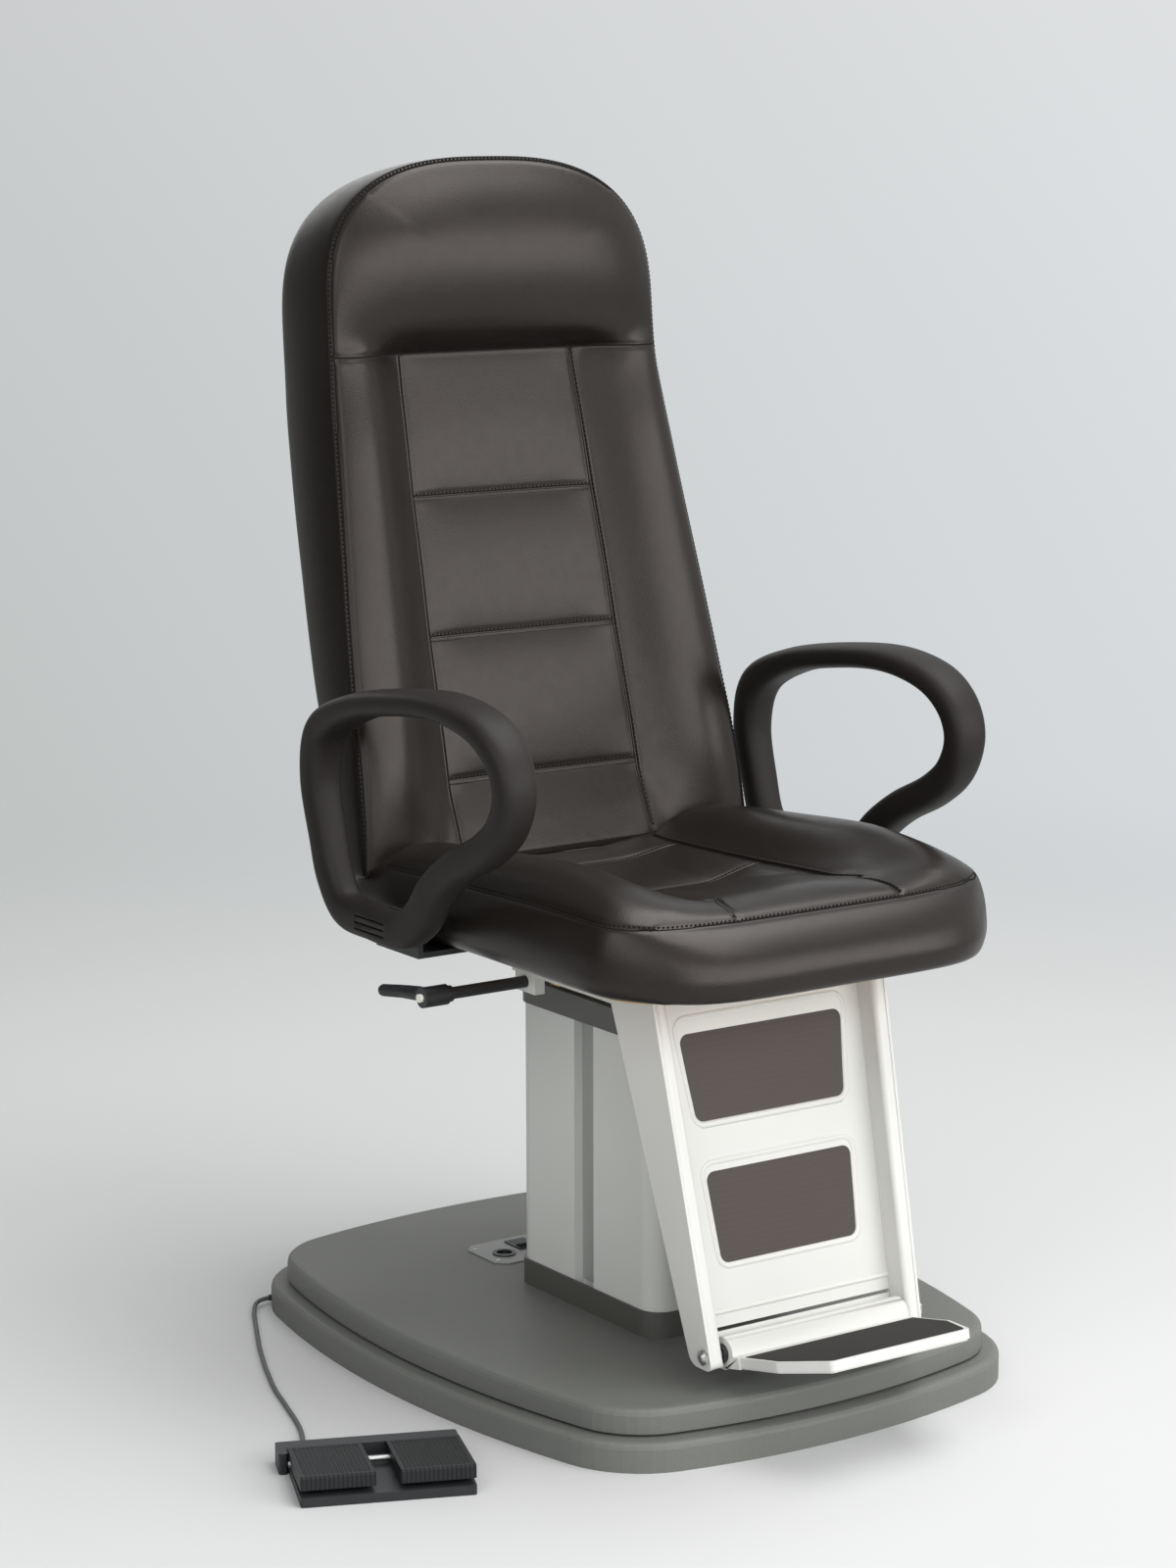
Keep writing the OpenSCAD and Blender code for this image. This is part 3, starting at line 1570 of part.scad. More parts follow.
function arm_ring(i, k) =
  let (
    n = len(arm_shares),
    a = arm_shares[(i + n - 1) % n],
    b = arm_shares[i],
    c = arm_shares[(i + 1) % n],
    d = arm_shares[(i + 2) % n],
    v = spline(a, b, c, d, k),
    ahead = spline(a, b, c, d, k + 0.01),
    t = unit([(ahead[0] - v[0]) * arm_len, (ahead[1] - v[1]) * arm_h]),
    mid = [v[0] * arm_len - arm_front, v[1] * arm_h + arm_z]
  )
  [for (j = [0:arm_sides - 1])
    let (
      g = 360 * j / arm_sides,
      cx = sign(cos(g)) * pow(abs(cos(g)), arm_square) * v[3] * arm_pad_w,
      cn = sign(sin(g)) * pow(abs(sin(g)), arm_square) * v[2] * arm_pad_w
    )
    [arm_x + cx, mid.x - t.y * cn, mid.y + t.x * cn]];
module arm_loop() {
  n = len(arm_shares) * arm_steps;
  rings = [for (i = [0:len(arm_shares) - 1], k = [0:arm_steps - 1])
    arm_ring(i, k / arm_steps)];
  m = arm_sides;
  polyhedron(
    [for (r = rings) each r],
    [for (i = [0:n - 1], j = [0:m - 1])
      let (i2 = (i + 1) % n, j2 = (j + 1) % m)
      each patch(i * m + j, i * m + j2, i2 * m + j2, i2 * m + j)],
    convexity = 8);
}

// Flat seat for the bracket on the inner face, three lines on the outer face
arm_foot_share = 0.6;
arm_sink = 2;
arm_seat_x = arm_x - arm_pad_w * arm_foot_share + arm_sink;
arm_bar_y = 34;
arm_bar_l = 84;
arm_bracket_rise = 15;
arm_bracket_top = arm_z + arm_bracket_rise;
groove_w = 2;
groove_cut = 1.5;
groove_pitch = 7;
groove_shares = [0.2, 0.9];
groove_x = arm_x + arm_pad_w * arm_foot_share - groove_cut;
module armrest() {
  difference() {
    arm_loop();
    span([arm_x - arm_pad_w, arm_bar_y - slip, carrier_top - arm_foot_h],
      [arm_seat_x, arm_bar_y + arm_bar_l + slip, arm_bracket_top + slip]);
    for (k = [-1, 0, 1])
      span([groove_x, arm_bar_y + arm_bar_l * groove_shares[0],
          arm_z + k * groove_pitch - groove_w / 2],
        [arm_x + arm_pad_w, arm_bar_y + arm_bar_l * groove_shares[1],
          arm_z + k * groove_pitch + groove_w / 2]);
  }
}
module armrest_right() {
  color(arm_black)
    armrest();
}
module armrest_left() {
  color(arm_black)
    mirror([1, 0, 0])
      armrest();
}

// Angle brackets from under the board up to the armrests' flat seats
module arm_brackets() {
  in = carrier_w / 2 + slip;
  color(black)
    both_sides() {
      span([in, arm_bar_y, carrier_top - arm_bracket_t],
        [arm_seat_x, arm_bar_y + arm_bar_l, carrier_top]);
      span([arm_seat_x - arm_bracket_t, arm_bar_y, carrier_top - arm_bracket_t],
        [arm_seat_x, arm_bar_y + arm_bar_l, arm_bracket_top]);
    }
}
arm_bolt_d = 7;
arm_bolt_r = arm_bolt_d * 0.8;
arm_bolt_shares = [0.25, 0.75];
arm_bolt_x_share = 0.4;
module arm_bolts() {
  color(steel)
    both_sides()
      for (v = arm_bolt_shares) {
        rod_x(arm_seat_x - arm_bracket_t - arm_bolt_d / 2,
          arm_seat_x - arm_bracket_t, arm_bar_y + arm_bar_l * v, arm_z,
          arm_bolt_r);
        translate([mix(carrier_w / 2, arm_seat_x, arm_bolt_x_share),
          arm_bar_y + arm_bar_l * v, carrier_top - arm_bracket_t - arm_bolt_d / 2])
          cylinder(h = arm_bolt_d / 2, r = arm_bolt_r);
      }
}

// Foot control, drawn about its own middle and turned into place

module on_floor() {
  translate([pedal_x, pedal_y, 0])
    rotate([0, 0, pedal_turn])
      children();
}
half_cw = control_w / 2;
half_cd = control_d / 2;
axle_back = 47;
axle_y = half_cd - axle_back;
axle_z = 15;
cheek_gap = 0.5;
pedal_proud = 1;
pedal_step = 4;
pedal_rear = half_cd - control_rear_d - cheek_gap;
pedal_rear_h = control_rear_h + pedal_proud;
pedal_front = half_cd - pedal_step;
pedal_wall = 2.5;
pedal_top = 3;
pedal_chin = 6;
pedal_lift = 2;
pedal_bevel = 2;
post_x_share = 0.34;
post_top_share = 0.6;
post_t = 6;
floor_edge = 3;
module pedal_base() {
  color(black)
    on_floor()
      difference() {
        union() {
          linear_extrude(control_floor)
            round_rect(control_w, control_d, floor_edge);
          for (s = [-1, 1])
            translate([s * control_w * post_x_share, axle_y, axle_z / 2 + axle_d / 2])
              cube([post_t, 2 * axle_d, axle_z + axle_d * post_top_share], center = true);
        }
        rod_x(-half_cw, half_cw, axle_y, axle_z, axle_d / 2);
      }
}

// Cover along the rear, with a cheek that wraps the left end
cover_r = 3;
cheek_w = 10;
cheek_d = 35;
axle_proud = 2;
module pedal_rear_cover() {
  color(charcoal)
    on_floor() {
      translate([-cheek_w / 2, half_cd - control_rear_d / 2, control_floor])
        linear_extrude(control_rear_h - control_floor)
          round_rect(control_w + cheek_w, control_rear_d, cover_r);
      translate([-half_cw - (cheek_w + cheek_gap) / 2, half_cd - cheek_d / 2, 0])
        linear_extrude(control_rear_h)
          round_rect(cheek_w - cheek_gap, cheek_d, cover_r);
    }
}
module pedal_axle() {
  color(steel)
    on_floor()
      rod_x(-half_cw - axle_proud, half_cw + axle_proud, axle_y, axle_z,
        axle_d / 2);
}
switch_size = [20, 20, 5.5];
switch_x_share = 0.31;
switch_y_share = 0.52;
module pedal_switches() {
  color(black)
    on_floor()
      for (s = [-1, 1])
        translate([s * control_w * switch_x_share, -half_cd * switch_y_share,
          control_floor + switch_size.z / 2])
          cube(switch_size, center = true);
}

// Torsion springs wound on the axle, drawn as their outer sleeve
spring_wall = 1.7;
spring_x_share = 0.16;
module pedal_springs() {
  color(steel)
    on_floor()
      for (s = [-1, 1])
        translate([s * control_w * spring_x_share, 0, 0])
          difference() {
            rod_x(-pedal_wall * 2, pedal_wall * 2, axle_y, axle_z,
              axle_d / 2 + slip + spring_wall);
            rod_x(-half_cw, half_cw, axle_y, axle_z, axle_d / 2 + slip);
          }
}

// One pedal: a hollow cap on the axle, ribbed lengthwise on top
rib_pitch = 2.6;
rib_cut = 0.7;
rib_margin = 5;
module pedal_cap(x0, x1) {
  rear_z = pedal_rear_h;
  front_z = pedal_front_h;
  chin_z = control_floor + pedal_chin;
  foot_z = control_floor + pedal_lift;
  slope = atan2(front_z - rear_z, pedal_front + pedal_rear);
  ribs = floor((x1 - x0 - 2 * rib_margin) / rib_pitch);
  difference() {
    translate([x0, 0, 0])
      rotate([90, 0, 90])
        linear_extrude(x1 - x0)
          polygon([
            [-pedal_front, chin_z], [axle_y, foot_z], [pedal_rear, foot_z],
            [pedal_rear, rear_z], [-pedal_front + pedal_bevel, front_z],
            [-pedal_front, front_z - pedal_bevel]]);
    translate([x0 + pedal_wall, 0, 0])
      rotate([90, 0, 90])
        linear_extrude(x1 - x0 - 2 * pedal_wall)
          polygon([
            [-pedal_front + pedal_wall, 0], [pedal_rear - pedal_wall, 0],
            [pedal_rear - pedal_wall, rear_z - pedal_top],
            [-pedal_front + pedal_wall, front_z - pedal_top]]);
    rod_x(x0 - over, x1 + over, axle_y, axle_z, axle_d / 2 + run_clear);
    translate([0, pedal_rear, rear_z])
      rotate([-slope, 0, 0])
        for (k = [0:ribs])
          translate([x0 + rib_margin + k * rib_pitch - rib_pitch / 4,
            -pedal_front - pedal_rear + rib_margin, -rib_cut])
            cube([rib_pitch / 2, pedal_front + pedal_rear - 2 * rib_margin,
              2 * rib_cut]);
  }
}
module pedal_left() {
  color(charcoal)
    on_floor()
      pedal_cap(-half_cw, -pedal_gap / 2);
}
module pedal_right() {
  color(charcoal)
    on_floor()
      pedal_cap(pedal_gap / 2, half_cw);
}

// Control cord from the rear corner of the base over the floor to the pedals
cord_route = [
  [-274, 366, 8], [-280, 366, 8], [-287.5, 364.7, 7.4], [-293.5, 361.3, 6.2],
  [-298.3, 356.3, 4.9], [-305, 345.5, 3.5], [-312, 333, 2.7], [-323, 311, 2.5],
  [-336, 285, 2.5], [-350, 257, 2.5], [-363, 230, 2.5], [-375, 203, 2.5],
  [-387, 176, 2.5], [-397, 151, 2.5], [-407, 126, 2.5], [-416, 101, 2.5],
  [-425, 71, 2.5], [-434, 42, 2.5], [-443, 13, 2.5], [-453, -14, 2.5],
  [-462, -33, 3.2], [-470, -48, 5], [-477, -61, 7.1], [-482.57, -72.92, 8],
  [-485.8, -80.6, 8]];
cord_sides = 8;
function cord_ring(i) =
  let (
    n = len(cord_route),
    a = cord_route[max(0, i - 1)],
    b = cord_route[min(n - 1, i + 1)],
    t = unit(b - a),
    side = unit([-t.y, t.x, 0]),
    up = cross(t, side)
  )
  [for (j = [0:cord_sides - 1])
    let (g = 360 * (j + 0.5) / cord_sides)
    cord_route[i] + cord_d / 2 * (cos(g) * side + sin(g) * up)];
module pedal_cord() {
  n = len(cord_route);
  m = cord_sides;
  color(charcoal)
    polyhedron(
      [for (i = [0:n - 1]) each cord_ring(i)],
      concat(
        [[for (j = [0:m - 1]) j], [for (j = [m - 1:-1:0]) (n - 1) * m + j]],
        [for (i = [0:n - 2], j = [0:m - 1])
          let (p = i * m + j, q = i * m + (j + 1) % m)
          each patch(p, p + m, q + m, q)]),
      convexity = 4);
}

// Grommets where the cord leaves the base and enters the foot control
grommet_d = 9;
grommet_l = 14;
grommet_out = cord_route[0].x;
cord_end = cord_route[len(cord_route) - 1];
module cord_grommets() {
  color(black) {
    translate(cord_route[0])
      rotate([0, 90, 0])
        cylinder(h = grommet_l, d1 = cord_d * 1.3, d2 = grommet_d);
    difference() {
      translate(cord_end)
        rotate([0, 90, pedal_turn - 90])
          cylinder(h = grommet_l / 2, d1 = cord_d * 1.3, d2 = grommet_d);
      pedal_rear_cover();
      pedal_base();
    }
  }
}

base_plate();
base_lower_cover();
base_upper_cover();
base_grip_pads();
column_flange();
column_bolts();
column_skirt();
column_outer_profile();
column_slot_strips();
column_top_bezel();
upper_guide_pads();
actuator_housing();
actuator_motor();
control_unit();
service_plate();
service_plate_screws();
accessory_socket();
switch_bezel();
power_rocker();
column_inner_profile();
lower_guide_pads();
actuator_rod();
head_plate();
brake_disc();
swivel_post();
slide_ring();
swivel_bush();
seat_carrier();
brake_block();
brake_shoe();
lever_rod();
lever_handle();
lever_button();
seat_board();
seat_cushion();
back_bracket();
back_bolts();
back_board();
backrest_cushion();
back_panel();
arm_brackets();
arm_bolts();
armrest_left();
armrest_right();
legrest_frame();
legrest_pad_upper();
legrest_pad_lower();
foot_hinge_bolts();
foot_plate();
foot_plate_mat();
hinge_bushes();
pedal_base();
pedal_rear_cover();
pedal_axle();
pedal_switches();
pedal_springs();
pedal_left();
pedal_right();
cord_grommets();
pedal_cord();
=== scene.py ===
# Looks of an examination chair: a lifting column on a broad base, a swivel seat
# with a high padded back and loop armrests, a leg rest with a folding foot plate
# and a foot control on a cord. Metres; the chair faces -Y and the floor is z = 0.
import math

import bpy
import bmesh
import numpy as np
from mathutils import Matrix, Vector
from mathutils.bvhtree import BVHTree


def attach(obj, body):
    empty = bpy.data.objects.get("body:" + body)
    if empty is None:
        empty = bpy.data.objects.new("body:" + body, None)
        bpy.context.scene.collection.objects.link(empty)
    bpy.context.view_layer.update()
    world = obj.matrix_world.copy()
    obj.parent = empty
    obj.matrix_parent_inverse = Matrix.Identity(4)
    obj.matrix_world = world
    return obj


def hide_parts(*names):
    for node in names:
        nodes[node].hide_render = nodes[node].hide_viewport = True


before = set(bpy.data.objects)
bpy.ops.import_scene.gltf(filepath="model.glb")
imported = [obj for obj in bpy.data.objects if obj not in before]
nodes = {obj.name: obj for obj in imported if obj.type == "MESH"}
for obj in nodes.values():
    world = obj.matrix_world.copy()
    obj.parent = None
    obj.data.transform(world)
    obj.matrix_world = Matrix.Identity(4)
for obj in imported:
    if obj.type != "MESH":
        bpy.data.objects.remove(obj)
for name in ("Cube", "Light", "Camera"):
    if name in bpy.data.objects:
        bpy.data.objects.remove(bpy.data.objects[name])
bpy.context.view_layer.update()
scene = bpy.context.scene
scene.view_settings.view_transform = "Standard"


# ---- Camera -------------------------------------------------------------------
# It stands ahead of the chair, on the side of armrest_left, a little above the
# head end of the back, and looks slightly down with a long lens.
def new_object(name, data):
    """An object in the scene."""
    thing = bpy.data.objects.new(name, data)
    scene.collection.objects.link(thing)
    return thing


turn, tilt, roll = (math.radians(angle) for angle in (-34.49, 10.41, -0.11))
away = Vector((math.sin(turn) * math.cos(tilt), -math.cos(turn) * math.cos(tilt),
               math.sin(tilt)))
level = Vector((math.cos(turn), math.sin(turn), 0))
rise = away.cross(level)
across = level * math.cos(roll) + rise * math.sin(roll)
upward = rise * math.cos(roll) - level * math.sin(roll)
camera = new_object("camera", bpy.data.cameras.new("camera"))
camera.data.lens = 84.85
camera.data.sensor_width = 36
camera.data.clip_end = 100
camera.matrix_world = Matrix((
    (across.x, upward.x, away.x, -2.2635),
    (across.y, upward.y, away.y, -3.1750),
    (across.z, upward.z, away.z, 1.3471),
    (0, 0, 0, 1)))
scene.camera = camera


# ---- Control cord -------------------------------------------------------------
# The lead of the foot control: a soft grey jacket 5 mm thick. It leaves a rubber
# grommet in the base, drops to the floor and swings forward to the pedals.
def smooth_line(points, steps, closed=False):
    """Points of a smooth curve through the given ones."""
    p = np.asarray(points, float)
    n = len(p)
    if closed:
        a, b, c, d = (np.roll(p, k, 0) for k in (1, 0, -1, -2))
    else:
        q = np.vstack([2 * p[0] - p[1], p, 2 * p[-1] - p[-2]])
        a, b, c, d = q[:n - 1], q[1:n], q[2:n + 1], q[3:n + 2]
    k = (np.arange(steps) / steps)[None, :, None]
    a, b, c, d = (v[:, None, :] for v in (a, b, c, d))
    line = 0.5 * (2 * b + (c - a) * k + (2 * a - 5 * b + 4 * c - d) * k ** 2
                  + (3 * b - a - 3 * c + d) * k ** 3)
    line = line.reshape(-1, p.shape[1])
    return line if closed else np.vstack([line, p[-1:]])


def linear(colour):
    """Linear colour of an sRGB hex value."""
    parts = [int(colour[k:k + 2], 16) / 255 for k in (1, 3, 5)]
    return [c / 12.92 if c <= 0.04045 else ((c + 0.055) / 1.055) ** 2.4
            for c in parts] + [1.0]


def add_node(near, kind, inputs=None, **settings):
    """Adds a node to a tree, or beside a node or socket, and fills its inputs. By
    number, Map Range has its limits at 1 to 4 and Mix its colours at 6 and 7."""
    tree = near if isinstance(near, bpy.types.NodeTree) else near.id_data
    node = tree.nodes.new(kind)
    for setting, value in settings.items():
        setattr(node, setting, value)
    for key, value in (inputs or {}).items():
        if isinstance(value, bpy.types.NodeSocket):
            tree.links.new(value, node.inputs[key])
        else:
            node.inputs[key].default_value = value
    return node


def new_finish(name, roughness, metallic=0.0):
    """A named material, its shader and its object coordinates."""
    material = bpy.data.materials.new(name)
    material.use_nodes = True
    shader = material.node_tree.nodes["Principled BSDF"]
    shader.inputs["Roughness"].default_value = roughness
    shader.inputs["Metallic"].default_value = metallic
    return material, shader, add_node(shader, "ShaderNodeTexCoord").outputs["Object"]


def noise(place, scale, detail=2.0, roughness=0.5):
    """A soft random share over the surface."""
    return add_node(place, "ShaderNodeTexNoise", {
        "Vector": place, "Scale": scale, "Detail": detail,
        "Roughness": roughness}).outputs[0]


def mixed(share, first, second):
    """A colour between two others, each an sRGB hex value or a socket."""
    first, second = (linear(c) if isinstance(c, str) else c for c in (first, second))
    return add_node(share, "ShaderNodeMix", {0: share, 6: first, 7: second},
                    data_type="RGBA").outputs[2]


def tinted(shader, share, first, second):
    """Runs the base colour from one to another with a share."""
    shader.id_data.links.new(mixed(share, first, second), shader.inputs["Base Color"])


def glossed(shader, share, low, high):
    """Runs the roughness from low to high with a share."""
    spread = add_node(shader, "ShaderNodeMapRange", {0: share, 3: low, 4: high})
    shader.id_data.links.new(spread.outputs[0], shader.inputs["Roughness"])


def bumped(shader, share, strength, depth, **settings):
    """Raises the surface with a share, over what already raises it."""
    raised = add_node(shader, "ShaderNodeBump", {
        "Height": share, "Strength": strength, "Distance": depth}, **settings)
    links, normal = shader.id_data.links, shader.inputs["Normal"]
    if normal.is_linked:
        links.new(normal.links[0].from_socket, raised.inputs["Normal"])
    links.new(raised.outputs[0], normal)


def drawn(points, faces, name, material, body, slot, smooth=True):
    """A mesh piece in metres that rides on a body, with its faces outwards."""
    mesh = bpy.data.meshes.new(name)
    mesh.from_pydata([tuple(map(float, p)) for p in points], [],
                     [tuple(map(int, f)) for f in faces])
    shell = bmesh.new()
    shell.from_mesh(mesh)
    bmesh.ops.recalc_face_normals(shell, faces=shell.faces)
    shell.to_mesh(mesh)
    shell.free()
    mesh.materials.append(material)
    mesh.polygons.foreach_set("use_smooth", [smooth] * len(mesh.polygons))
    piece = new_object(name, mesh)
    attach(piece, body)
    return piece


def tube(line, radius, sides):
    """Points and faces of a round tube along a line, closed at both ends."""
    line = [Vector(p) for p in line]
    points, faces = [], []
    for i, p in enumerate(line):
        along = (line[min(i + 1, len(line) - 1)] - line[max(i - 1, 0)]).normalized()
        side = Vector((-along.y, along.x, 0)).normalized()
        up = along.cross(side)
        for j in range(sides):
            g = 2 * math.pi * j / sides
            points.append(p + radius * (math.cos(g) * side + math.sin(g) * up))
    for i in range(len(line) - 1):
        for j in range(sides):
            k = (j + 1) % sides
            faces.append((i * sides + j, i * sides + k,
                          (i + 1) * sides + k, (i + 1) * sides + j))
    faces.append(range(sides))
    faces.append(range((len(line) - 1) * sides, len(line) * sides))
    return points, faces


# Soft PVC jacket, extruded: an even satin skin with a faint drag in its gloss.
jacket, shader, place = new_finish("soft_pvc_jacket", 0.5)
shader.inputs["Base Color"].default_value = linear("#4a4c4b")
drag = noise(place, 160.0, 2.0)
glossed(shader, drag, 0.42, 0.6)
bumped(shader, drag, 0.2, 0.0002)

cord_route = np.array([
    (-274, 366, 8), (-280, 366, 8), (-287.5, 364.7, 7.4), (-293.5, 361.3, 6.2),
    (-298.3, 356.3, 4.9), (-305, 345.5, 3.5), (-312, 333, 2.7), (-323, 311, 2.5),
    (-336, 285, 2.5), (-350, 257, 2.5), (-363, 230, 2.5), (-375, 203, 2.5),
    (-387, 176, 2.5), (-397, 151, 2.5), (-407, 126, 2.5), (-416, 101, 2.5),
    (-425, 71, 2.5), (-434, 42, 2.5), (-443, 13, 2.5), (-453, -14, 2.5),
    (-462, -33, 3.2), (-470, -48, 5), (-477, -61, 7.1), (-482.57, -72.92, 8),
    (-485.8, -80.6, 8)]) / 1000
cord_line = smooth_line(cord_route, 4)
cord = drawn(*tube(cord_line, 0.0025, 12), "pedal_cord_jacket", jacket, "base",
             "cord_rubber")
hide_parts("pedal_cord")


# Moulded rubber, dull and slightly dusty: grommets and the pads under the base.
rubber, shader, place = new_finish("moulded_rubber", 0.75)
dust = noise(place, 90.0, 4.0)
tinted(shader, dust, "#1b1b1b", "#2a2a29")
bumped(shader, dust, 0.3, 0.0003)


def finish_nodes(material, *names):
    """Gives modelled parts their material."""
    for part in names:
        mesh = nodes[part].data
        mesh.materials.clear()
        mesh.materials.append(material)


finish_nodes(rubber, "cord_grommets", "base_grip_pads")


# ---- Base ---------------------------------------------------------------------
# Two flat covers of vacuum-formed ABS, one stepped in over the other, round the
# steel plate. Their matt skin has a fine leather-like grain and a soft edge.
cover, shader, place = new_finish("grained_abs_cover", 0.55)
grit = noise(place, 420.0, 3.0, roughness=0.6)
cloud = noise(place, 6.0, 3.0)
tinted(shader, cloud, mixed(grit, "#595b57", "#727470"), "#686a66")
glossed(shader, cloud, 0.48, 0.66)
bumped(shader, grit, 0.45, 0.0004)
finish_nodes(cover, "base_lower_cover", "base_upper_cover")

# Service plate: a smooth sheet of the same grey, a little paler.
smooth_grey, shader, place = new_finish("smooth_grey_plate", 0.4)
cloud = noise(place, 30.0)
tinted(shader, cloud, "#6f716e", "#7b7d7a")
finish_nodes(smooth_grey, "service_plate")

# Zinc-plated and bare steel: plate, bolts, rod, pins and springs. Rolling and
# turning leave a faint drawn streak in the shine.
steel, shader, place = new_finish("zinc_plated_steel", 0.34, 1.0)
drawn_out = add_node(shader, "ShaderNodeMapping", {0: place, 3: (40, 40, 900)})
streak = noise(drawn_out.outputs[0], 1.0, 2.0)
tinted(shader, streak, "#a9aaa9", "#c9cac8")
glossed(shader, streak, 0.26, 0.44)
finish_nodes(steel, "base_plate", "column_flange", "column_bolts", "head_plate",
             "actuator_rod", "swivel_post", "arm_bolts", "back_bolts",
             "foot_hinge_bolts", "pedal_axle", "pedal_springs")

# Moulded black plastic of socket, switch frame and bushes: fine spark-eroded
# texture of the mould.
black_plastic, shader, place = new_finish("moulded_black_plastic", 0.42)
shader.inputs["Base Color"].default_value = linear("#202123")
spark = noise(place, 900.0, 2.0)
glossed(shader, spark, 0.34, 0.52)
bumped(shader, spark, 0.3, 0.0001)
finish_nodes(black_plastic, "accessory_socket", "switch_bezel", "hinge_bushes",
             "pedal_switches")

# Charcoal plastic of the foot control, rocker and lift housing, a shade paler.
charcoal, shader, place = new_finish("satin_charcoal_plastic", 0.46)
shader.inputs["Specular IOR Level"].default_value = 0.3
spark = noise(place, 600.0, 3.0)
tinted(shader, spark, "#222426", "#2e3032")
glossed(shader, spark, 0.38, 0.56)
bumped(shader, spark, 0.3, 0.00015)
finish_nodes(charcoal, "power_rocker", "control_unit", "actuator_housing",
             "pedal_base", "pedal_rear_cover")

# The same plastic on the pedals, with rows of moulded anti-slip dots. They are
# drawn 4.5 mm apart where the real ones are nearer 3 mm, so that they show.
dotted, shader, place = new_finish("dotted_pedal_plastic", 0.5)
shader.inputs["Specular IOR Level"].default_value = 0.25
in_line = add_node(shader, "ShaderNodeMapping", {
    0: place, 2: (0, 0, math.radians(22.8))})
dots = add_node(shader, "ShaderNodeTexVoronoi", {
    "Vector": in_line.outputs[0], "Scale": 222.0, "Randomness": 0.0},
    voronoi_dimensions="2D")
round_dot = add_node(shader, "ShaderNodeMapRange", {
    0: dots.outputs[0], 1: 0.24, 2: 0.4, 3: 1.0, 4: 0.0})
tinted(shader, round_dot.outputs[0], "#222426", "#060707")
bumped(shader, round_dot.outputs[0], 0.4, 0.0004)
finish_nodes(dotted, "pedal_left", "pedal_right")


# Pan-head screws of the service plate: domed steel with a cross recess, one mesh
# repeated at four points.
def new_tree(name, source, sizes, made):
    """A geometry tree with named inputs: what it starts from, its sizes and its
    finish. Returns the tree, its inputs inside and the identifiers to set."""
    tree = bpy.data.node_groups.new(name, "GeometryNodeTree")
    labels = [(source, "Geometry")] + [(size, "Float") for size in sizes]
    keys = [tree.interface.new_socket(label, in_out="INPUT",
                                      socket_type="NodeSocket" + kind).identifier
            for label, kind in labels + [("Finish", "Material")]]
    tree.interface.new_socket(made, in_out="OUTPUT", socket_type="NodeSocketGeometry")
    return tree, add_node(tree, "NodeGroupInput").outputs, keys[1:]


def close_tree(tree, shape, given):
    """Ends a tree in plain geometry with its finish."""
    real = add_node(tree, "GeometryNodeRealizeInstances", {0: shape})
    dressed = add_node(tree, "GeometryNodeSetMaterial", {
        "Geometry": real.outputs[0], "Material": given["Finish"]})
    add_node(tree, "NodeGroupOutput", {0: dressed.outputs[0]})


screw_tree, given, screw_keys = new_tree("plate_screws", "Places", ["Head radius"],
                                         "Screws")
head = add_node(screw_tree, "GeometryNodeMeshUVSphere", {
    "Segments": 20, "Rings": 10, "Radius": given["Head radius"]})
dome = add_node(screw_tree, "GeometryNodeTransform", {
    "Geometry": head.outputs["Mesh"], "Scale": (1, 1, 0.45)})
bars = [add_node(screw_tree, "GeometryNodeMeshCube", {"Size": size}).outputs[0]
        for size in ((0.003, 0.0007, 0.0016), (0.0007, 0.003, 0.0016))]
cross = add_node(screw_tree, "GeometryNodeJoinGeometry")
for bar in bars:
    screw_tree.links.new(bar, cross.inputs[0])
lifted = add_node(screw_tree, "GeometryNodeTransform", {
    "Geometry": cross.outputs[0], "Translation": (0, 0, 0.0012)})
recess = add_node(screw_tree, "GeometryNodeMeshBoolean", {
    0: dome.outputs[0], 1: lifted.outputs[0]}, operation="DIFFERENCE")
placed = add_node(screw_tree, "GeometryNodeInstanceOnPoints", {
    "Points": given["Places"], "Instance": recess.outputs[0]})
close_tree(screw_tree, placed.outputs[0], given)


def baked(piece):
    """Keeps the plain mesh that the modifiers of a piece make."""
    bpy.context.view_layer.update()
    mesh = bpy.data.meshes.new_from_object(
        piece.evaluated_get(bpy.context.evaluated_depsgraph_get()))
    piece.modifiers.clear()
    piece.data = mesh
    return mesh


def grown(piece, tree, keys, values):
    """Runs a geometry tree on a piece."""
    modifier = piece.modifiers.new("made", "NODES")
    modifier.node_group = tree
    for key, value in zip(keys, values):
        modifier[key] = value
    baked(piece)


plate_y, plate_top_z, screw_radius = 0.217, 0.0616, 0.0026
spots = bpy.data.meshes.new("service_plate_screw_heads")
spots.from_pydata([(sx * 0.074, plate_y + sy * 0.024, plate_top_z)
                   for sx in (-1, 1) for sy in (-1, 1)], [], [])
screws = new_object("service_plate_screw_heads", spots)
grown(screws, screw_tree, screw_keys, (screw_radius, steel))
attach(screws, "base")
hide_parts("service_plate_screws")


# ---- Lifting column -----------------------------------------------------------
# Two nested aluminium extrusions with a slot down each side, powder coated light
# grey. The coat is a fine even texture; a darker moulded skirt and bezel trim it.
profile, shader, place = new_finish("powder_coated_aluminium", 0.5)
peel = noise(place, 380.0, 2.0)
wash = noise(place, 4.0)
tinted(shader, wash, "#cbcdc9", "#d7d9d5")
glossed(shader, peel, 0.42, 0.6)
bumped(shader, peel, 0.25, 0.0002)
finish_nodes(profile, "column_outer_profile", "column_inner_profile", "brake_block")

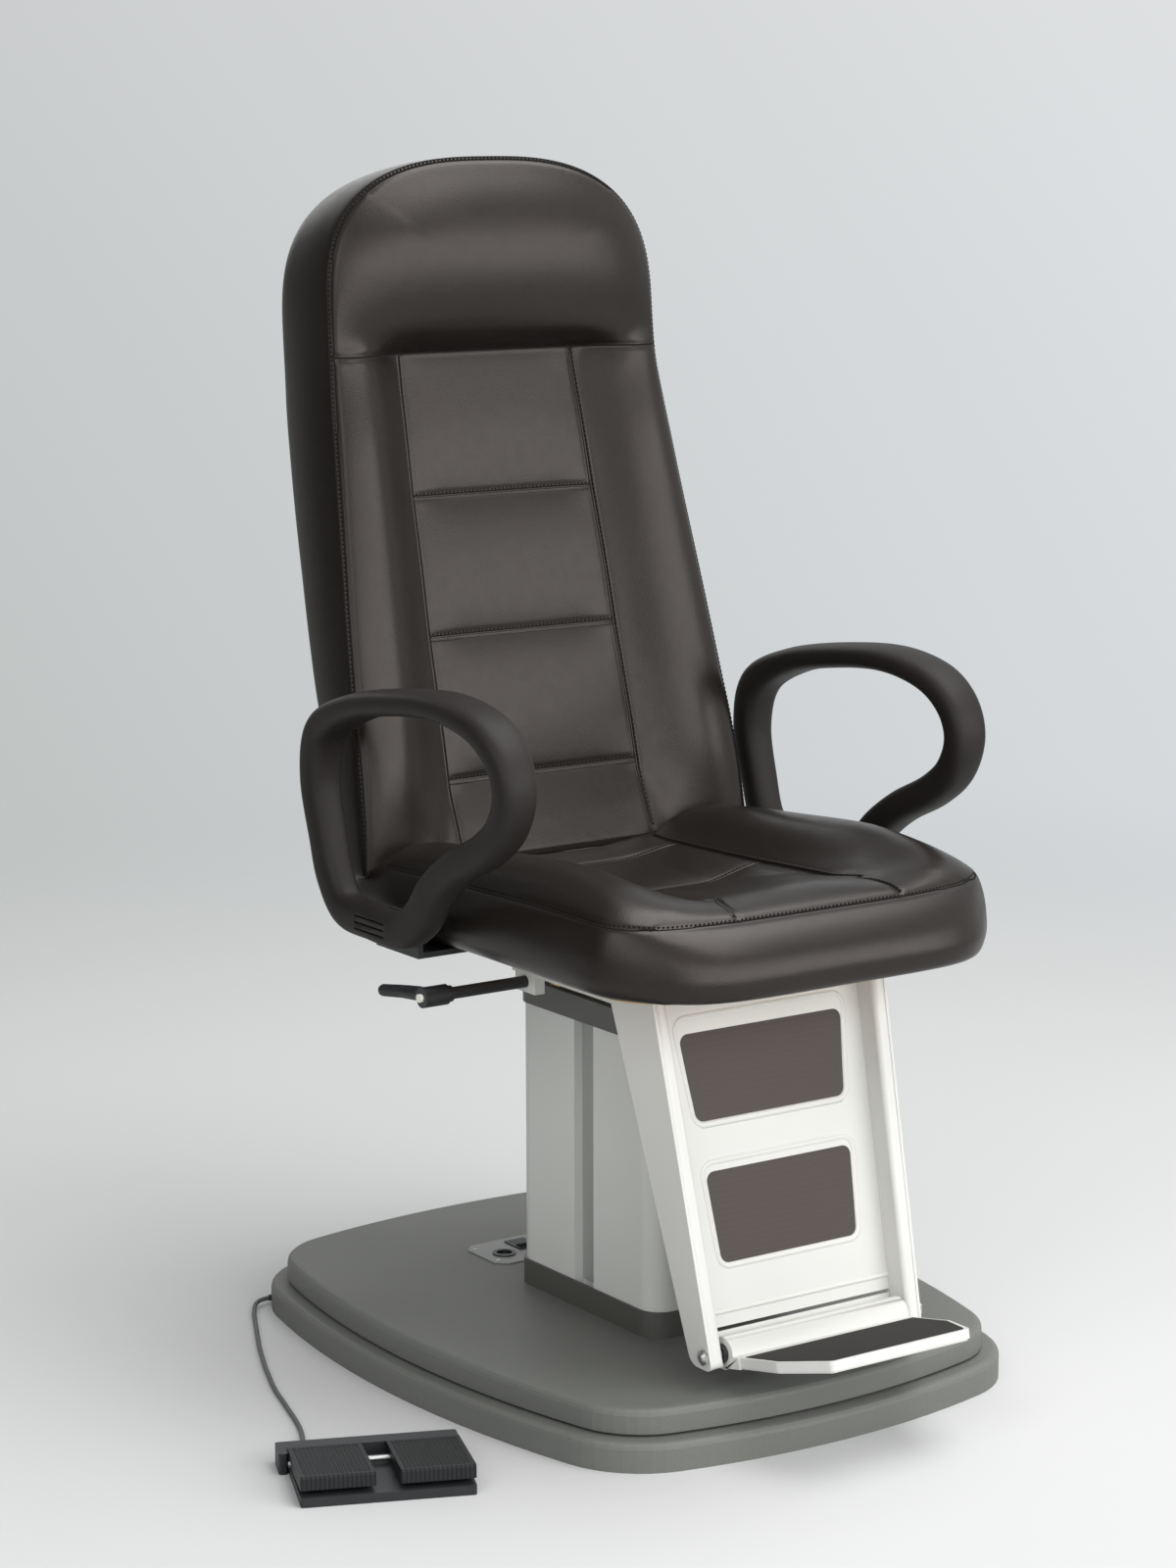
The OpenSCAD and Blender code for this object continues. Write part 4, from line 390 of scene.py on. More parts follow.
trim, shader, place = new_finish("satin_grey_trim", 0.42)
spark = noise(place, 500.0)
tinted(shader, spark, "#4b4c48", "#575853")
glossed(shader, spark, 0.36, 0.5)
finish_nodes(trim, "column_skirt", "column_top_bezel", "brake_disc")

# Slot strips: smooth extruded plastic pressed into the slots.
strip, shader, place = new_finish("extruded_slot_strip", 0.4)
long_drag = add_node(shader, "ShaderNodeMapping", {0: place, 3: (700, 700, 8)})
drag = noise(long_drag.outputs[0], 1.0)
tinted(shader, drag, "#929591", "#9ea19e")
finish_nodes(strip, "column_slot_strips")

# Slick white bearing plastic of guide pads, slide ring and bush, and the button
# in the lever: machined or moulded, faintly cloudy.
bearing, shader, place = new_finish("white_bearing_plastic", 0.4)
cloud = noise(place, 60.0)
tinted(shader, cloud, "#e2dfd4", "#efede6")
shader.inputs["Subsurface Weight"].default_value = 0.05
finish_nodes(bearing, "upper_guide_pads", "lower_guide_pads", "slide_ring",
             "swivel_bush", "lever_button")

brass, shader, place = new_finish("machined_brass", 0.3, 1.0)
mill = noise(place, 500.0)
tinted(shader, mill, "#a38243", "#bd9a58")
finish_nodes(brass, "brake_shoe")


# ---- Clamping lever and brackets ----------------------------------------------
# Steel painted satin black: the lever rod, the brackets of back and armrests and
# the lift motor. The handle is a casting in the same black.
black_metal, shader, place = new_finish("black_satin_paint", 0.38)
paint = noise(place, 300.0, 3.0)
tinted(shader, paint, "#1c1d1f", "#28292b")
glossed(shader, paint, 0.3, 0.5)
bumped(shader, paint, 0.2, 0.00015)
finish_nodes(black_metal, "lever_rod", "lever_handle", "actuator_motor",
             "back_bracket", "arm_brackets")


# ---- Boards -------------------------------------------------------------------
# Beech plywood under the foam of seat and back: pale veneer with fine pores that
# run with the grain, and plies that show as lines on the edge.
plywood, shader, place = new_finish("beech_plywood", 0.6)
stretched = add_node(shader, "ShaderNodeMapping", {0: place, 3: (3, 60, 60)})
figure = noise(stretched.outputs[0], 4.0, 6.0)
tinted(shader, figure, "#b8925f", "#d2b07c")
bumped(shader, figure, 0.2, 0.0002)
finish_nodes(plywood, "seat_board", "back_board")


# ---- Seat cushion -------------------------------------------------------------
# Moulded foam under dark brown upholstery vinyl. A stitched seam runs round the
# crown, two seams part the dished middle panel from the bolsters, and two sewn
# channels cross it. The front rolls forward and down over the edge.
def follow(table, x):
    """Value at x on a smooth curve through a table of places and values."""
    px, py = np.array(table, float).T
    x = np.clip(np.asarray(x, float), px[0], px[-1])
    h = np.diff(px)
    d = np.diff(py) / h
    m = np.zeros_like(px)
    m[0], m[-1] = d[0], d[-1]
    both = d[:-1] * d[1:]
    m[1:-1] = np.where(both > 0, 2 * both / np.where(both > 0, d[:-1] + d[1:], 1), 0)
    i = np.clip(np.searchsorted(px, x) - 1, 0, len(h) - 1)
    k = (x - px[i]) / h[i]
    return ((2 * k ** 3 - 3 * k ** 2 + 1) * py[i]
            + (3 * k ** 2 - 2 * k ** 3) * py[i + 1]
            + (k ** 3 - 2 * k ** 2 + k) * h[i] * m[i]
            + (k ** 3 - k ** 2) * h[i] * m[i + 1])


def ease(a, b, x):
    """Smooth step from 0 to 1 as x goes from a to b."""
    k = np.clip((x - a) / (b - a), 0, 1)
    return k * k * (3 - 2 * k)


def soft_end(a, b, n):
    """Pulls the edge of a square onto a rounded end."""
    m = np.maximum(np.abs(a), b)
    q = (np.abs(a) ** n + b ** n) ** (1 / n)
    q = np.where(q == 0, 1, q)
    return a / q * m, b / q * m


def bent(s, t, k, n):
    """Real shares across and along of a grid point, on a form whose end is rounded
    from k on, and how near the point is to the rounded edge."""
    b = np.maximum(0, (t - k) / (1 - k))
    ex, ey = soft_end(s, b, n)
    return (np.where(t <= k, s, ex), np.where(t <= k, t, k + ey * (1 - k)),
            np.maximum(np.abs(s), b))


def even_steps(marks, pitch):
    """Shares that include every mark, spaced about a pitch apart."""
    parts = [np.linspace(a, b, max(1, round((b - a) / pitch)), endpoint=False)
             for a, b in zip(marks[:-1], marks[1:])]
    return np.concatenate(parts + [[marks[-1]]])


def padded_mesh(front, rear, rings, seams):
    """Closed quad mesh between two grids that share their rim. Returns its points,
    its faces and which points are sewn or held."""
    nx, ny = front.shape[0] - 1, front.shape[1] - 1
    rim = ([(i, 0) for i in range(nx)] + [(nx, j) for j in range(ny)]
           + [(i, ny) for i in range(nx, 0, -1)] + [(0, j) for j in range(ny, 0, -1)])
    size = (nx + 1) * (ny + 1)
    points = np.vstack([front.reshape(-1, 3), rear.reshape(-1, 3)]
                       + [np.array([ring[i, j] for i, j in rim]) for ring in rings])
    spot = np.arange(size).reshape(nx + 1, ny + 1)
    a, b, c, d = spot[:-1, :-1], spot[:-1, 1:], spot[1:, 1:], spot[1:, :-1]
    faces = np.vstack([np.stack([a, b, c, d], -1).reshape(-1, 4),
                       np.stack([a, d, c, b], -1).reshape(-1, 4) + size])
    m, k = len(rim), len(rings)
    layers = [np.array([i * (ny + 1) + j for i, j in rim])]
    layers += [2 * size + layer * m + np.arange(m) for layer in range(k)]
    layers += [layers[0] + size]
    walls = [np.stack([p, np.roll(p, -1), np.roll(q, -1), q], -1)
             for p, q in zip(layers[:-1], layers[1:])]
    faces = np.vstack([faces] + walls)
    sewn = np.zeros(len(points), bool)
    sewn[:size] = seams.reshape(-1)
    sewn[layers[0]] = True
    held = np.zeros(len(points), bool)
    held[size:2 * size] = True
    return points / 1000, faces, sewn, held


def puffed(piece, sewn, held, cap, steps=20):
    """Blows the cover up like foam behind cloth, with its seams held, and keeps
    every point within the cap of where it was cut."""
    mesh = piece.data
    start = np.empty(len(mesh.vertices) * 3)
    mesh.vertices.foreach_get("co", start)
    start = start.reshape(-1, 3)
    group = piece.vertex_groups.new(name="sewn")
    group.add([int(i) for i in np.nonzero(sewn | held)[0]], 1.0, "REPLACE")
    cloth = piece.modifiers.new("cover", "CLOTH")
    cloth.settings.quality = 5
    cloth.settings.use_pressure = True
    cloth.settings.uniform_pressure_force = 4.0
    cloth.settings.tension_stiffness = 12
    cloth.settings.compression_stiffness = 12
    cloth.settings.bending_stiffness = 2.0
    cloth.settings.vertex_group_mass = "sewn"
    cloth.settings.effector_weights.gravity = 0
    cloth.point_cache.frame_end = steps
    for step in range(1, steps + 1):
        scene.frame_set(step)
    settled = piece.evaluated_get(bpy.context.evaluated_depsgraph_get()).data
    end = np.empty(len(mesh.vertices) * 3)
    settled.vertices.foreach_get("co", end)
    end = end.reshape(-1, 3)
    piece.modifiers.clear()
    piece.vertex_groups.clear()
    scene.frame_set(1)
    move = end - start
    far = np.linalg.norm(move, axis=1, keepdims=True)
    start = start + move * (cap / (cap + far))
    mesh.vertices.foreach_set("co", start.reshape(-1))
    mesh.update()


def sewn_finish(piece, sewn, depth):
    """Smooths the cover once and draws its sewn lines in."""
    mesh = piece.data
    line = mesh.attributes.new("sewn", "FLOAT", "POINT")
    line.data.foreach_set("value", sewn.astype(float))
    finer = piece.modifiers.new("finer", "SUBSURF")
    finer.levels = finer.render_levels = 1
    fine = baked(piece)
    count = len(fine.vertices)
    co, no, pull = np.empty(count * 3), np.empty(count * 3), np.empty(count)
    fine.vertices.foreach_get("co", co)
    fine.vertices.foreach_get("normal", no)
    fine.attributes["sewn"].data.foreach_get("value", pull)
    co = co.reshape(-1, 3) - no.reshape(-1, 3) * (pull ** 3 * depth)[:, None]
    fine.vertices.foreach_set("co", co.reshape(-1))
    fine.attributes.remove(fine.attributes["sewn"])
    fine.update()


# Upholstery vinyl on a knitted back: a fine pebbled grain of about 1.2 mm, a
# broad soft sheen, and slightly browner where it is stretched.
vinyl, shader, place = new_finish("pebbled_upholstery_vinyl", 0.34)
shader.inputs["Specular IOR Level"].default_value = 0.34
shader.inputs["Specular Tint"].default_value = (1.0, 0.92, 0.88, 1.0)
pebble = add_node(shader, "ShaderNodeTexVoronoi", {"Vector": place, "Scale": 820.0},
                  feature="SMOOTH_F1")
crease = noise(place, 70.0, 5.0)
tone = noise(place, 7.0, 2.0)
tinted(shader, tone, "#171412", "#1f1b18")
glossed(shader, crease, 0.26, 0.38)
bumped(shader, pebble.outputs[0], 0.4, 0.0003)
bumped(shader, crease, 0.12, 0.0006)

# Bonded polyester thread, dark brown and slightly waxy. In the same colour, thin
# tubes half sunk in the seams paint the shade of the seam grooves.
thread, shader, place = new_finish("polyester_thread_and_seam_shade", 0.8)
shader.inputs["Specular IOR Level"].default_value = 0.2
twist = add_node(shader, "ShaderNodeTexWave", {"Vector": place, "Scale": 900.0,
                                               "Distortion": 1.0})
tinted(shader, twist.outputs[1], "#0b0a09", "#171412")

# One stitch, a waxed grain of thread, repeated along a line.
stitch_tree, given, stitch_keys = new_tree(
    "sewn_stitches", "Lines", ["Pitch", "Stitch length", "Thread radius"], "Stitches")
path = add_node(stitch_tree, "GeometryNodeMeshToCurve", {0: given["Lines"]})
steps = add_node(stitch_tree, "GeometryNodeResampleCurve", {
    "Curve": path.outputs[0], "Length": given["Pitch"]}, mode="LENGTH")
ball = add_node(stitch_tree, "GeometryNodeMeshUVSphere", {
    "Segments": 6, "Rings": 4, "Radius": 1.0})
half = add_node(stitch_tree, "ShaderNodeMath", {
    0: given["Stitch length"], 1: 0.5}, operation="MULTIPLY")
stretch = add_node(stitch_tree, "ShaderNodeCombineXYZ", {
    0: given["Thread radius"], 1: given["Thread radius"], 2: half.outputs[0]})
turned = add_node(stitch_tree, "FunctionNodeAlignRotationToVector", {
    "Vector": add_node(stitch_tree, "GeometryNodeInputTangent").outputs[0]}, axis="Z")
placed = add_node(stitch_tree, "GeometryNodeInstanceOnPoints", {
    "Points": steps.outputs[0], "Instance": ball.outputs["Mesh"],
    "Rotation": turned.outputs[0], "Scale": stretch.outputs[0]})
close_tree(stitch_tree, placed.outputs[0], given)

# The rolled edge of the cover beside a seam, half sunk in it. Given the thread's
# dark colour, the same tube draws a line of painted shade in a seam.
welt_and_shade_tree, given, welt_and_shade_keys = new_tree("welt_and_shade_tube", "Lines", ["Radius"], "Welt_and_shade_line")
path = add_node(welt_and_shade_tree, "GeometryNodeMeshToCurve", {0: given["Lines"]})
around = add_node(welt_and_shade_tree, "GeometryNodeCurvePrimitiveCircle", {
    "Resolution": 10, "Radius": given["Radius"]})
rolled = add_node(welt_and_shade_tree, "GeometryNodeCurveToMesh", {
    "Curve": path.outputs[0], "Profile Curve": around.outputs[0], "Fill Caps": True})
close_tree(welt_and_shade_tree, rolled.outputs[0], given)


def laid(cover, places, lift, ray=None):
    """Lays points given in millimetres on a finished cover, along a ray or at the
    nearest place, and lifts them off it by so many millimetres."""
    line = []
    for place in places:
        spot = Vector(place) / 1000
        if ray is None:
            hit, normal = cover.find_nearest(spot)[:2]
        else:
            hit, normal = cover.ray_cast(spot - ray, ray)[:2]
        if hit is not None:
            line.append(hit + normal * lift / 1000)
    return line


def line_piece(name, lines, tree, keys, values):
    """A piece grown along lines of points, which rides on the seat."""
    points, edges = [], []
    for line in lines:
        edges += [(len(points) + i, len(points) + i + 1) for i in range(len(line) - 1)]
        points += line
    mesh = bpy.data.meshes.new(name)
    mesh.from_pydata([tuple(p) for p in points], edges, [])
    piece = new_object(name, mesh)
    grown(piece, tree, keys, values)
    piece.data.polygons.foreach_set("use_smooth", [True] * len(piece.data.polygons))
    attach(piece, "seat")
    return piece


# Sizes of cushions and armrests are in millimetres. A place on a cushion is a share
# s of its half width and t of its length, from the seat's rear or the back's foot.
seat_half_w, seat_nose, seat_rear = 241, 300, 153
seat_long = seat_nose + seat_rear
seat_under_z, seat_seam_z = 476, 550
seat_end, seat_round = 0.2, 4
seat_panel, seat_ridge = 0.437, 0.78
seat_channels = (0.115, 0.445)
seat_pitch = (0.029, 0.0155)
ring_depths = np.linspace(0, 1, 14)[1:-1]
bolster_high, dish_deep, seam_sway = 26, 24, 74
channel_half_w, seat_channel_deep = 9, 4
seat_side_out, seat_rear_out, seat_nose_out = 13, 5, 47
rear_reach, corner_further = 24, 33
puff_cap, seam_deep = 0.006, 0.0022


def seat_plan(s, t):
    """Place across and along the seat of a grid point."""
    ex, ey = bent(s, t, 1 - seat_end, seat_round)[:2]
    return ex * seat_half_w, seat_rear - ey * seat_long


def seat_top(s, t):
    """Height over the seam: bolsters at the sides, the dished panel between."""
    across, h, near = bent(s, t, 1 - seat_end, seat_round)
    a = np.abs(s)
    crest = bolster_high * follow([(0, .75), (.133, .95), (.35, 1.15), (.6, 1.3),
                                   (.78, 1.05), (.9, .62), (1, .3)], h)
    edge = dish_deep * follow([(0, -.2), (.1, -.36), (.42, -.4), (.7, -.28), (.8, 0),
                               (.9, .28), (1, .25)], h)
    middle = dish_deep * follow([
        (0, -.45), (.1, -.6), (.27, -.8), (.45, -.86), (.58, -.76), (.7, -.42),
        (.8, 0), (.9, .35), (1, .25)], h)
    for channel in seat_channels:
        middle = middle - seat_channel_deep * np.exp(
            -((t - channel) * seat_long / channel_half_w) ** 2)
    seam = seam_sway * follow([(0, -.07), (.3, -.02), (.7, .04), (.86, .04),
                               (1, -.02)], h)
    inner = edge + (middle - edge) * ease(1, 0.3, a / seat_panel)
    slope = edge + (crest - edge) * ease(seat_panel - 0.04, seat_ridge,
                                         np.abs(across))
    fall = 1 - np.clip((near - seat_ridge) / (1 - seat_ridge), 0, 1) ** 2.4
    return seam + fall * np.where(a < seat_panel, inner, slope)


def seat_out(s, t):
    """How far the gusset swells past the seam, across and along."""
    b = np.maximum(0, (t - 1 + seat_end) / seat_end)
    ux = np.sign(s) * np.abs(s) ** 3
    uy = np.where(t <= 0, 0, -b ** 3)
    none = (ux == 0) & (uy == 0)
    uy = np.where(none, np.where(t <= 0, 1, -1), uy)
    size = np.hypot(ux, uy)
    ux, uy = ux / size, uy / size
    return (np.sign(ux) * np.abs(ux) ** 3 * seat_side_out,
            np.where(uy < 0, -uy ** 2 * seat_nose_out, uy * seat_rear_out))


s, t = np.meshgrid(even_steps((-1, -seat_panel, seat_panel, 1), seat_pitch[0]),
                   even_steps((0,) + seat_channels + (1,), seat_pitch[1]),
                   indexing="ij")
x, y = seat_plan(s, t)
ox, oy = seat_out(s, t)
top_z = seat_seam_z + seat_top(s, t)
front = np.stack([x, y, top_z], -1)
# Below the seam the rear meets the foot of the back, and the corners reach back to
# the posts of the armrests.
reach = ((rear_reach + corner_further * ease(0.5, 0.75, np.abs(s)))
         * np.clip(1 - t / 0.05, 0, 1))
rear = np.stack([x - ox * 0.6 * s * s, y + oy * 0.87 * t * t + reach * 0.9,
                 np.full_like(x, seat_under_z)], -1)
rings = []
for depth in ring_depths:
    side = follow([(0, 0), (.2, .55), (.48, .92), (.75, 1), (.92, .4), (1, -.6)], depth)
    nose = follow([(0, 0), (.2, .5), (.48, .86), (.75, 1), (.92, .97), (1, .87)], depth)
    tail = follow([(0, 0), (.18, .85), (.4, 1), (1, .9)], depth)
    side = np.where((np.abs(s) < 1) & (t < 1), 0, side)
    rings.append(np.stack([x + ox * side, y + oy * nose + reach * tail,
                           top_z + (seat_under_z - top_z) * depth], -1))
seams = np.isclose(np.abs(s), seat_panel)
for channel in seat_channels:
    seams |= np.isclose(t, channel) & (np.abs(s) <= seat_panel + 1e-6)
points, faces, sewn, held = padded_mesh(front, rear, rings, seams)
seat = drawn(points, faces, "seat_cushion_cover", vinyl, "seat", "leatherette")
puffed(seat, sewn, held, puff_cap)
sewn_finish(seat, sewn, seam_deep)
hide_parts("seat_cushion")

# Seams of the seat: a dark line of painted shade with stitches round the crown,
# a painted shade line, a low band and stitches beside the panel, and a stitched
# painted shade line with a band before it at each channel. The shade lines are
# thin tubes in the thread's dark colour, half sunk in the seams. The thread is
# drawn 1.7 mm thick with a stitch of 5 mm, where the real ones are about 0.8 and
# 4 mm, so that they show.
skin = BVHTree.FromObject(seat, bpy.context.evaluated_depsgraph_get())
down = Vector((0, 0, -1))
folds, bands, stitches = [], [], []
panel_rows = ((folds, 0, -0.2), (bands, 3, -1.9), (stitches, 3, 0.6))
channel_rows = ((folds, 0, -0.2), (bands, -3.5, -2), (stitches, 2, 0.1))
run = np.linspace(0.02, 0.985, 110)
for side in (-1, 1):
    for lines, offset, lift in panel_rows:
        px, py = seat_plan(side * (seat_panel + offset / seat_half_w), run)
        lines.append(laid(skin, np.stack([px, py, 0 * px], -1), lift, down))
span = np.linspace(-seat_panel, seat_panel, 70)
for channel in seat_channels:
    for lines, offset, lift in channel_rows:
        px, py = seat_plan(span, channel)
        lines.append(laid(skin, np.stack([px, py + offset, 0 * px], -1), lift, down))
edge = np.concatenate([
    np.stack([x[-1], y[-1], top_z[-1]], -1), np.stack([x[::-1, -1], y[::-1, -1],
                                                       top_z[::-1, -1]], -1)[1:],
    np.stack([x[0], y[0], top_z[0]], -1)[::-1][1:]])
folds.append(laid(skin, edge, -0.1))
stitches.append(laid(skin, edge + [0, 0, 2.5], 0.1))
# Thickness of the dark tubes of painted shade in the seams, and of the low bands.
seam_shade_radius, band_radius = 0.001, 0.0028
stitch_pitch, stitch_length, thread_radius = 0.005, 0.0032, 0.00085
sewing = {
    "folds": (folds, welt_and_shade_tree, welt_and_shade_keys, (seam_shade_radius, thread)),
    "bands": (bands, welt_and_shade_tree, welt_and_shade_keys, (band_radius, vinyl)),
    "stitches": (stitches, stitch_tree, stitch_keys,
                 (stitch_pitch, stitch_length, thread_radius, thread))}
for kind, made in sewing.items():
    line_piece("seat_" + kind, *made)


# ---- Backrest -----------------------------------------------------------------
# A tall shell of foam in the same vinyl: a head roll above a seam that crosses
# the back, a sunk middle panel with three sewn channels, and rounded bolsters
# beside it. A plain gusset closes the sides, and a board covers the rear.
back_foot_z, back_high, back_half_w = 530, 760, 247
back_channels = (0.115, 0.3175, 0.517)
back_head, head_crest = 0.721, 0.766
back_pitch = (0.031, 0.0098)
back_panel, ridge = 0.505, 0.86
back_arch, back_round = 0.787, 2.7
back_bolster_high, back_dish_deep, back_channel_deep = 12, 28, 3
head_roll_high, gusset_out = 30, 5


def back_width(h):
    """Half width of the back as a share of its widest."""
    return follow([(0, 1.033), (.158, 1.008), (.32, .972), (.49, .926), (.65, .885),
                   (.714, .87), (1, .86)], h)


def back_seam_y(h):
    """Where the front seam lies, seen from the side."""
    return follow([(0, 168), (.05, 171.5), (.158, 187.5), (.238, 204), (.408, 237),
                   (.57, 268), (.718, 293), (.809, 299), (1, 310)], h)


def back_rear_y(h):
    """Where the rear lies: straight along the bracket, curved above it."""
    bowed = follow([(0, 220), (.2, 271), (.238, 285), (.32, 308.4), (.408, 331.6),
                    (.49, 353.3), (.57, 372), (.65, 388.3), (.718, 398), (.809, 403),
                    (1, 401)], h)
    return np.where(h < 0.2, 220 + 51 * h / 0.2, bowed)


def panel_half(h):
    """Half width of the middle panel as a share of the back's."""
    return follow([(0, .497), (.1, .499), (.72, .527), (1, .527)], h)


def back_plan(s, t, inset):
    """Place across the back and share of its height of a grid point."""
    a, h = bent(s, t, back_arch, back_round)[:2]
    return a * (back_width(h) * back_half_w - inset), h


def back_below(s, t):
    """Padding below the head seam: bolsters and the sunk panel with its channels."""
    a = np.abs(s)
    crest = back_bolster_high * follow([(0, .15), (.05, .5), (.15, 1), (.6, 1),
                                        (.72, .6)], t)
    sunk = -back_dish_deep * follow([
        (0, .05), (.04, .45), (.115, .95), (.22, .95), (.3175, 1), (.42, .95),
        (.517, 1), (.62, .95), (.72, 1.0)], t)
    middle = sunk
    for channel in back_channels:
        middle = middle - back_channel_deep * np.exp(
            -((t - channel) * back_high / channel_half_w) ** 2)
    inner = sunk + (middle - sunk) * ease(0.5, 0.3, a)
    slope = sunk + (crest - sunk) * ease(back_panel - 0.02, ridge, a)
    crown = crest * (1 - np.clip((a - ridge) / (1 - ridge), 0, 1) ** 2.2)
    return np.where(a < back_panel, inner, np.where(a < ridge, slope, crown))


def back_ahead(s, t):
    """How far the padding stands ahead of the seam, head roll included."""
    h, near = bent(s, t, back_arch, back_round)[1:]
    roll = head_roll_high * follow([
        (.72, .15), (.74, .3), (.775, .6), (.81, .81), (.85, .95), (.89, 1),
        (.94, .84), (1, .28)], h) * (1 - near ** 5)
    u = np.clip((t - back_head) / (head_crest - back_head), 0, 1)
    start = back_below(s, np.minimum(t, back_head))
    return np.where(t > back_head, start + (roll - start) * (1 - (1 - u) ** 2.2), start)


s, t = np.meshgrid(even_steps((-1, -back_panel, back_panel, 1), back_pitch[0]),
                   even_steps((0,) + back_channels + (back_head, head_crest, 1),
                              back_pitch[1]), indexing="ij")
edge_share = panel_half(t)
a = np.abs(s)
s_bent = np.sign(s) * np.where(a < back_panel, a * edge_share / back_panel,
                               1 - (1 - a) * (1 - edge_share) / (1 - back_panel))
x, h = back_plan(s_bent, t, 0)
rim = (np.abs(s) == 1) | (t == 1) | (t == 0)
front = np.stack([x, back_seam_y(h) - np.where(rim, 0, back_ahead(s, t)),
                  back_foot_z + h * back_high], -1)
xr, hr = back_plan(s_bent, t, -2)
rear = np.stack([xr, back_rear_y(hr), back_foot_z + hr * (back_high - 14)], -1)
rings = []
for depth in ring_depths:
    p = front + (rear - front) * depth
    out = p - np.array([0, 0, back_foot_z + back_high / 2])
    out[..., 1] = 0
    out /= np.linalg.norm(out, axis=-1, keepdims=True) + 1e-9
    rings.append(p + out * gusset_out * follow([
        (0, 0), (.12, .6), (.5, 1), (.88, .7), (1, 0)], depth))
seams = np.isclose(np.abs(s), back_panel) & (t <= back_head + 1e-6)
seams |= np.isclose(t, back_head)
for channel in back_channels:
    seams |= np.isclose(t, channel) & (np.abs(s) <= back_panel + 1e-6)
points, faces, sewn, held = padded_mesh(front, rear, rings, seams)
back = drawn(points, faces, "backrest_cushion_cover", vinyl, "seat", "leatherette")
puffed(back, sewn, held, puff_cap)
sewn_finish(back, sewn, seam_deep)
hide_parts("backrest_cushion")

# Seams of the back, sewn in the same way. Two dark lines of painted shade, with
# stitches between them, run round the front edge, and one more closes the head
# roll.
skin = BVHTree.FromObject(back, bpy.context.evaluated_depsgraph_get())
rearward = Vector((0, 1, 0))
for lines in (folds, bands, stitches):
    lines.clear()
for channel in back_channels:
    half = float(panel_half(channel))
    px, ph = back_plan(np.linspace(-half, half, 60), channel, 0)
    pz = back_foot_z + ph * back_high
    for lines, offset, lift in channel_rows:
        lines.append(laid(skin, np.stack([px, 0 * px, pz + offset], -1), lift,
                          rearward))
run = np.linspace(0.02, back_head - 0.004, 120)
for side in (-1, 1):
    for lines, offset, lift in panel_rows:
        px, ph = back_plan(side * panel_half(run), run, 0)
        lines.append(laid(skin, np.stack([
            px + side * offset, 0 * px, back_foot_z + ph * back_high], -1), lift,
            rearward))
px, ph = back_plan(np.linspace(-0.99, 0.99, 110), back_head, 0)
folds.append(laid(skin, np.stack([px, 0 * px, back_foot_z + ph * back_high], -1), 0,
                  rearward))
edge = np.concatenate([front[-1], front[::-1, -1][1:], front[0][::-1][1:]])
folds += [laid(skin, edge, 0), laid(skin, edge + [0, 7, 0], 0)]
stitches.append(laid(skin, edge + [0, 3.5, 0], 0.2))
for kind, made in sewing.items():
    line_piece("back_" + kind, *made)
finish_nodes(vinyl, "back_panel")


# ---- Armrests -----------------------------------------------------------------
# Closed loops of integral-skin foam moulded over steel: broad and flat on top,
# narrow where they are bolted on, with three lines moulded into the outer face.
foam_skin, shader, place = new_finish("integral_skin_foam", 0.55)
shader.inputs["Specular IOR Level"].default_value = 0.22
pores = noise(place, 520.0, 4.0)
rubbed = noise(place, 14.0)
tinted(shader, rubbed, "#1d1a18", "#25211f")
glossed(shader, rubbed, 0.45, 0.62)
bumped(shader, pores, 0.3, 0.0003)

arm_stations = [
    (.978, .305, .64, .66), (1.018, .566, .66, .72), (.971, .783, .63, .83),
    (.795, .908, .52, .94), (.575, .972, .48, 1), (.333, 1, .48, 1),
    (.145, .956, .52, .93), (.038, .855, .58, .83), (0, .715, .62, .76),
    (.038, .566, .64, .72), (.132, .454, .64, .7), (.274, .349, .64, .69),
    (.387, .229, .68, .66), (.468, .088, .74, .62), (.57, .004, .68, .6),
    (.723, 0, .66, .6), (.866, .02, .68, .6), (.941, .145, .68, .63)]
arm_line = smooth_line(arm_stations, 10, closed=True)
arm_long, arm_high, arm_front_y, arm_foot_z = 372, 249, -174, 499
arm_half_gap, arm_thick = 290, 29
arm_sides, arm_corner = 32, 0.72
line_rows, line_x, line_y, line_size = (-7, 0, 7), 314, 80.2, (20, 59, 1.8)
angle = 2 * np.pi * np.arange(arm_sides) / arm_sides
wide, thick = (np.sign(part) * np.abs(part) ** arm_corner * arm_thick
               for part in (np.cos(angle), np.sin(angle)))
middle = np.stack([arm_line[:, 0] * arm_long + arm_front_y,
                   arm_line[:, 1] * arm_high + arm_foot_z], -1)
along = np.roll(middle, -1, 0) - np.roll(middle, 1, 0)
along /= np.linalg.norm(along, axis=1, keepdims=True)
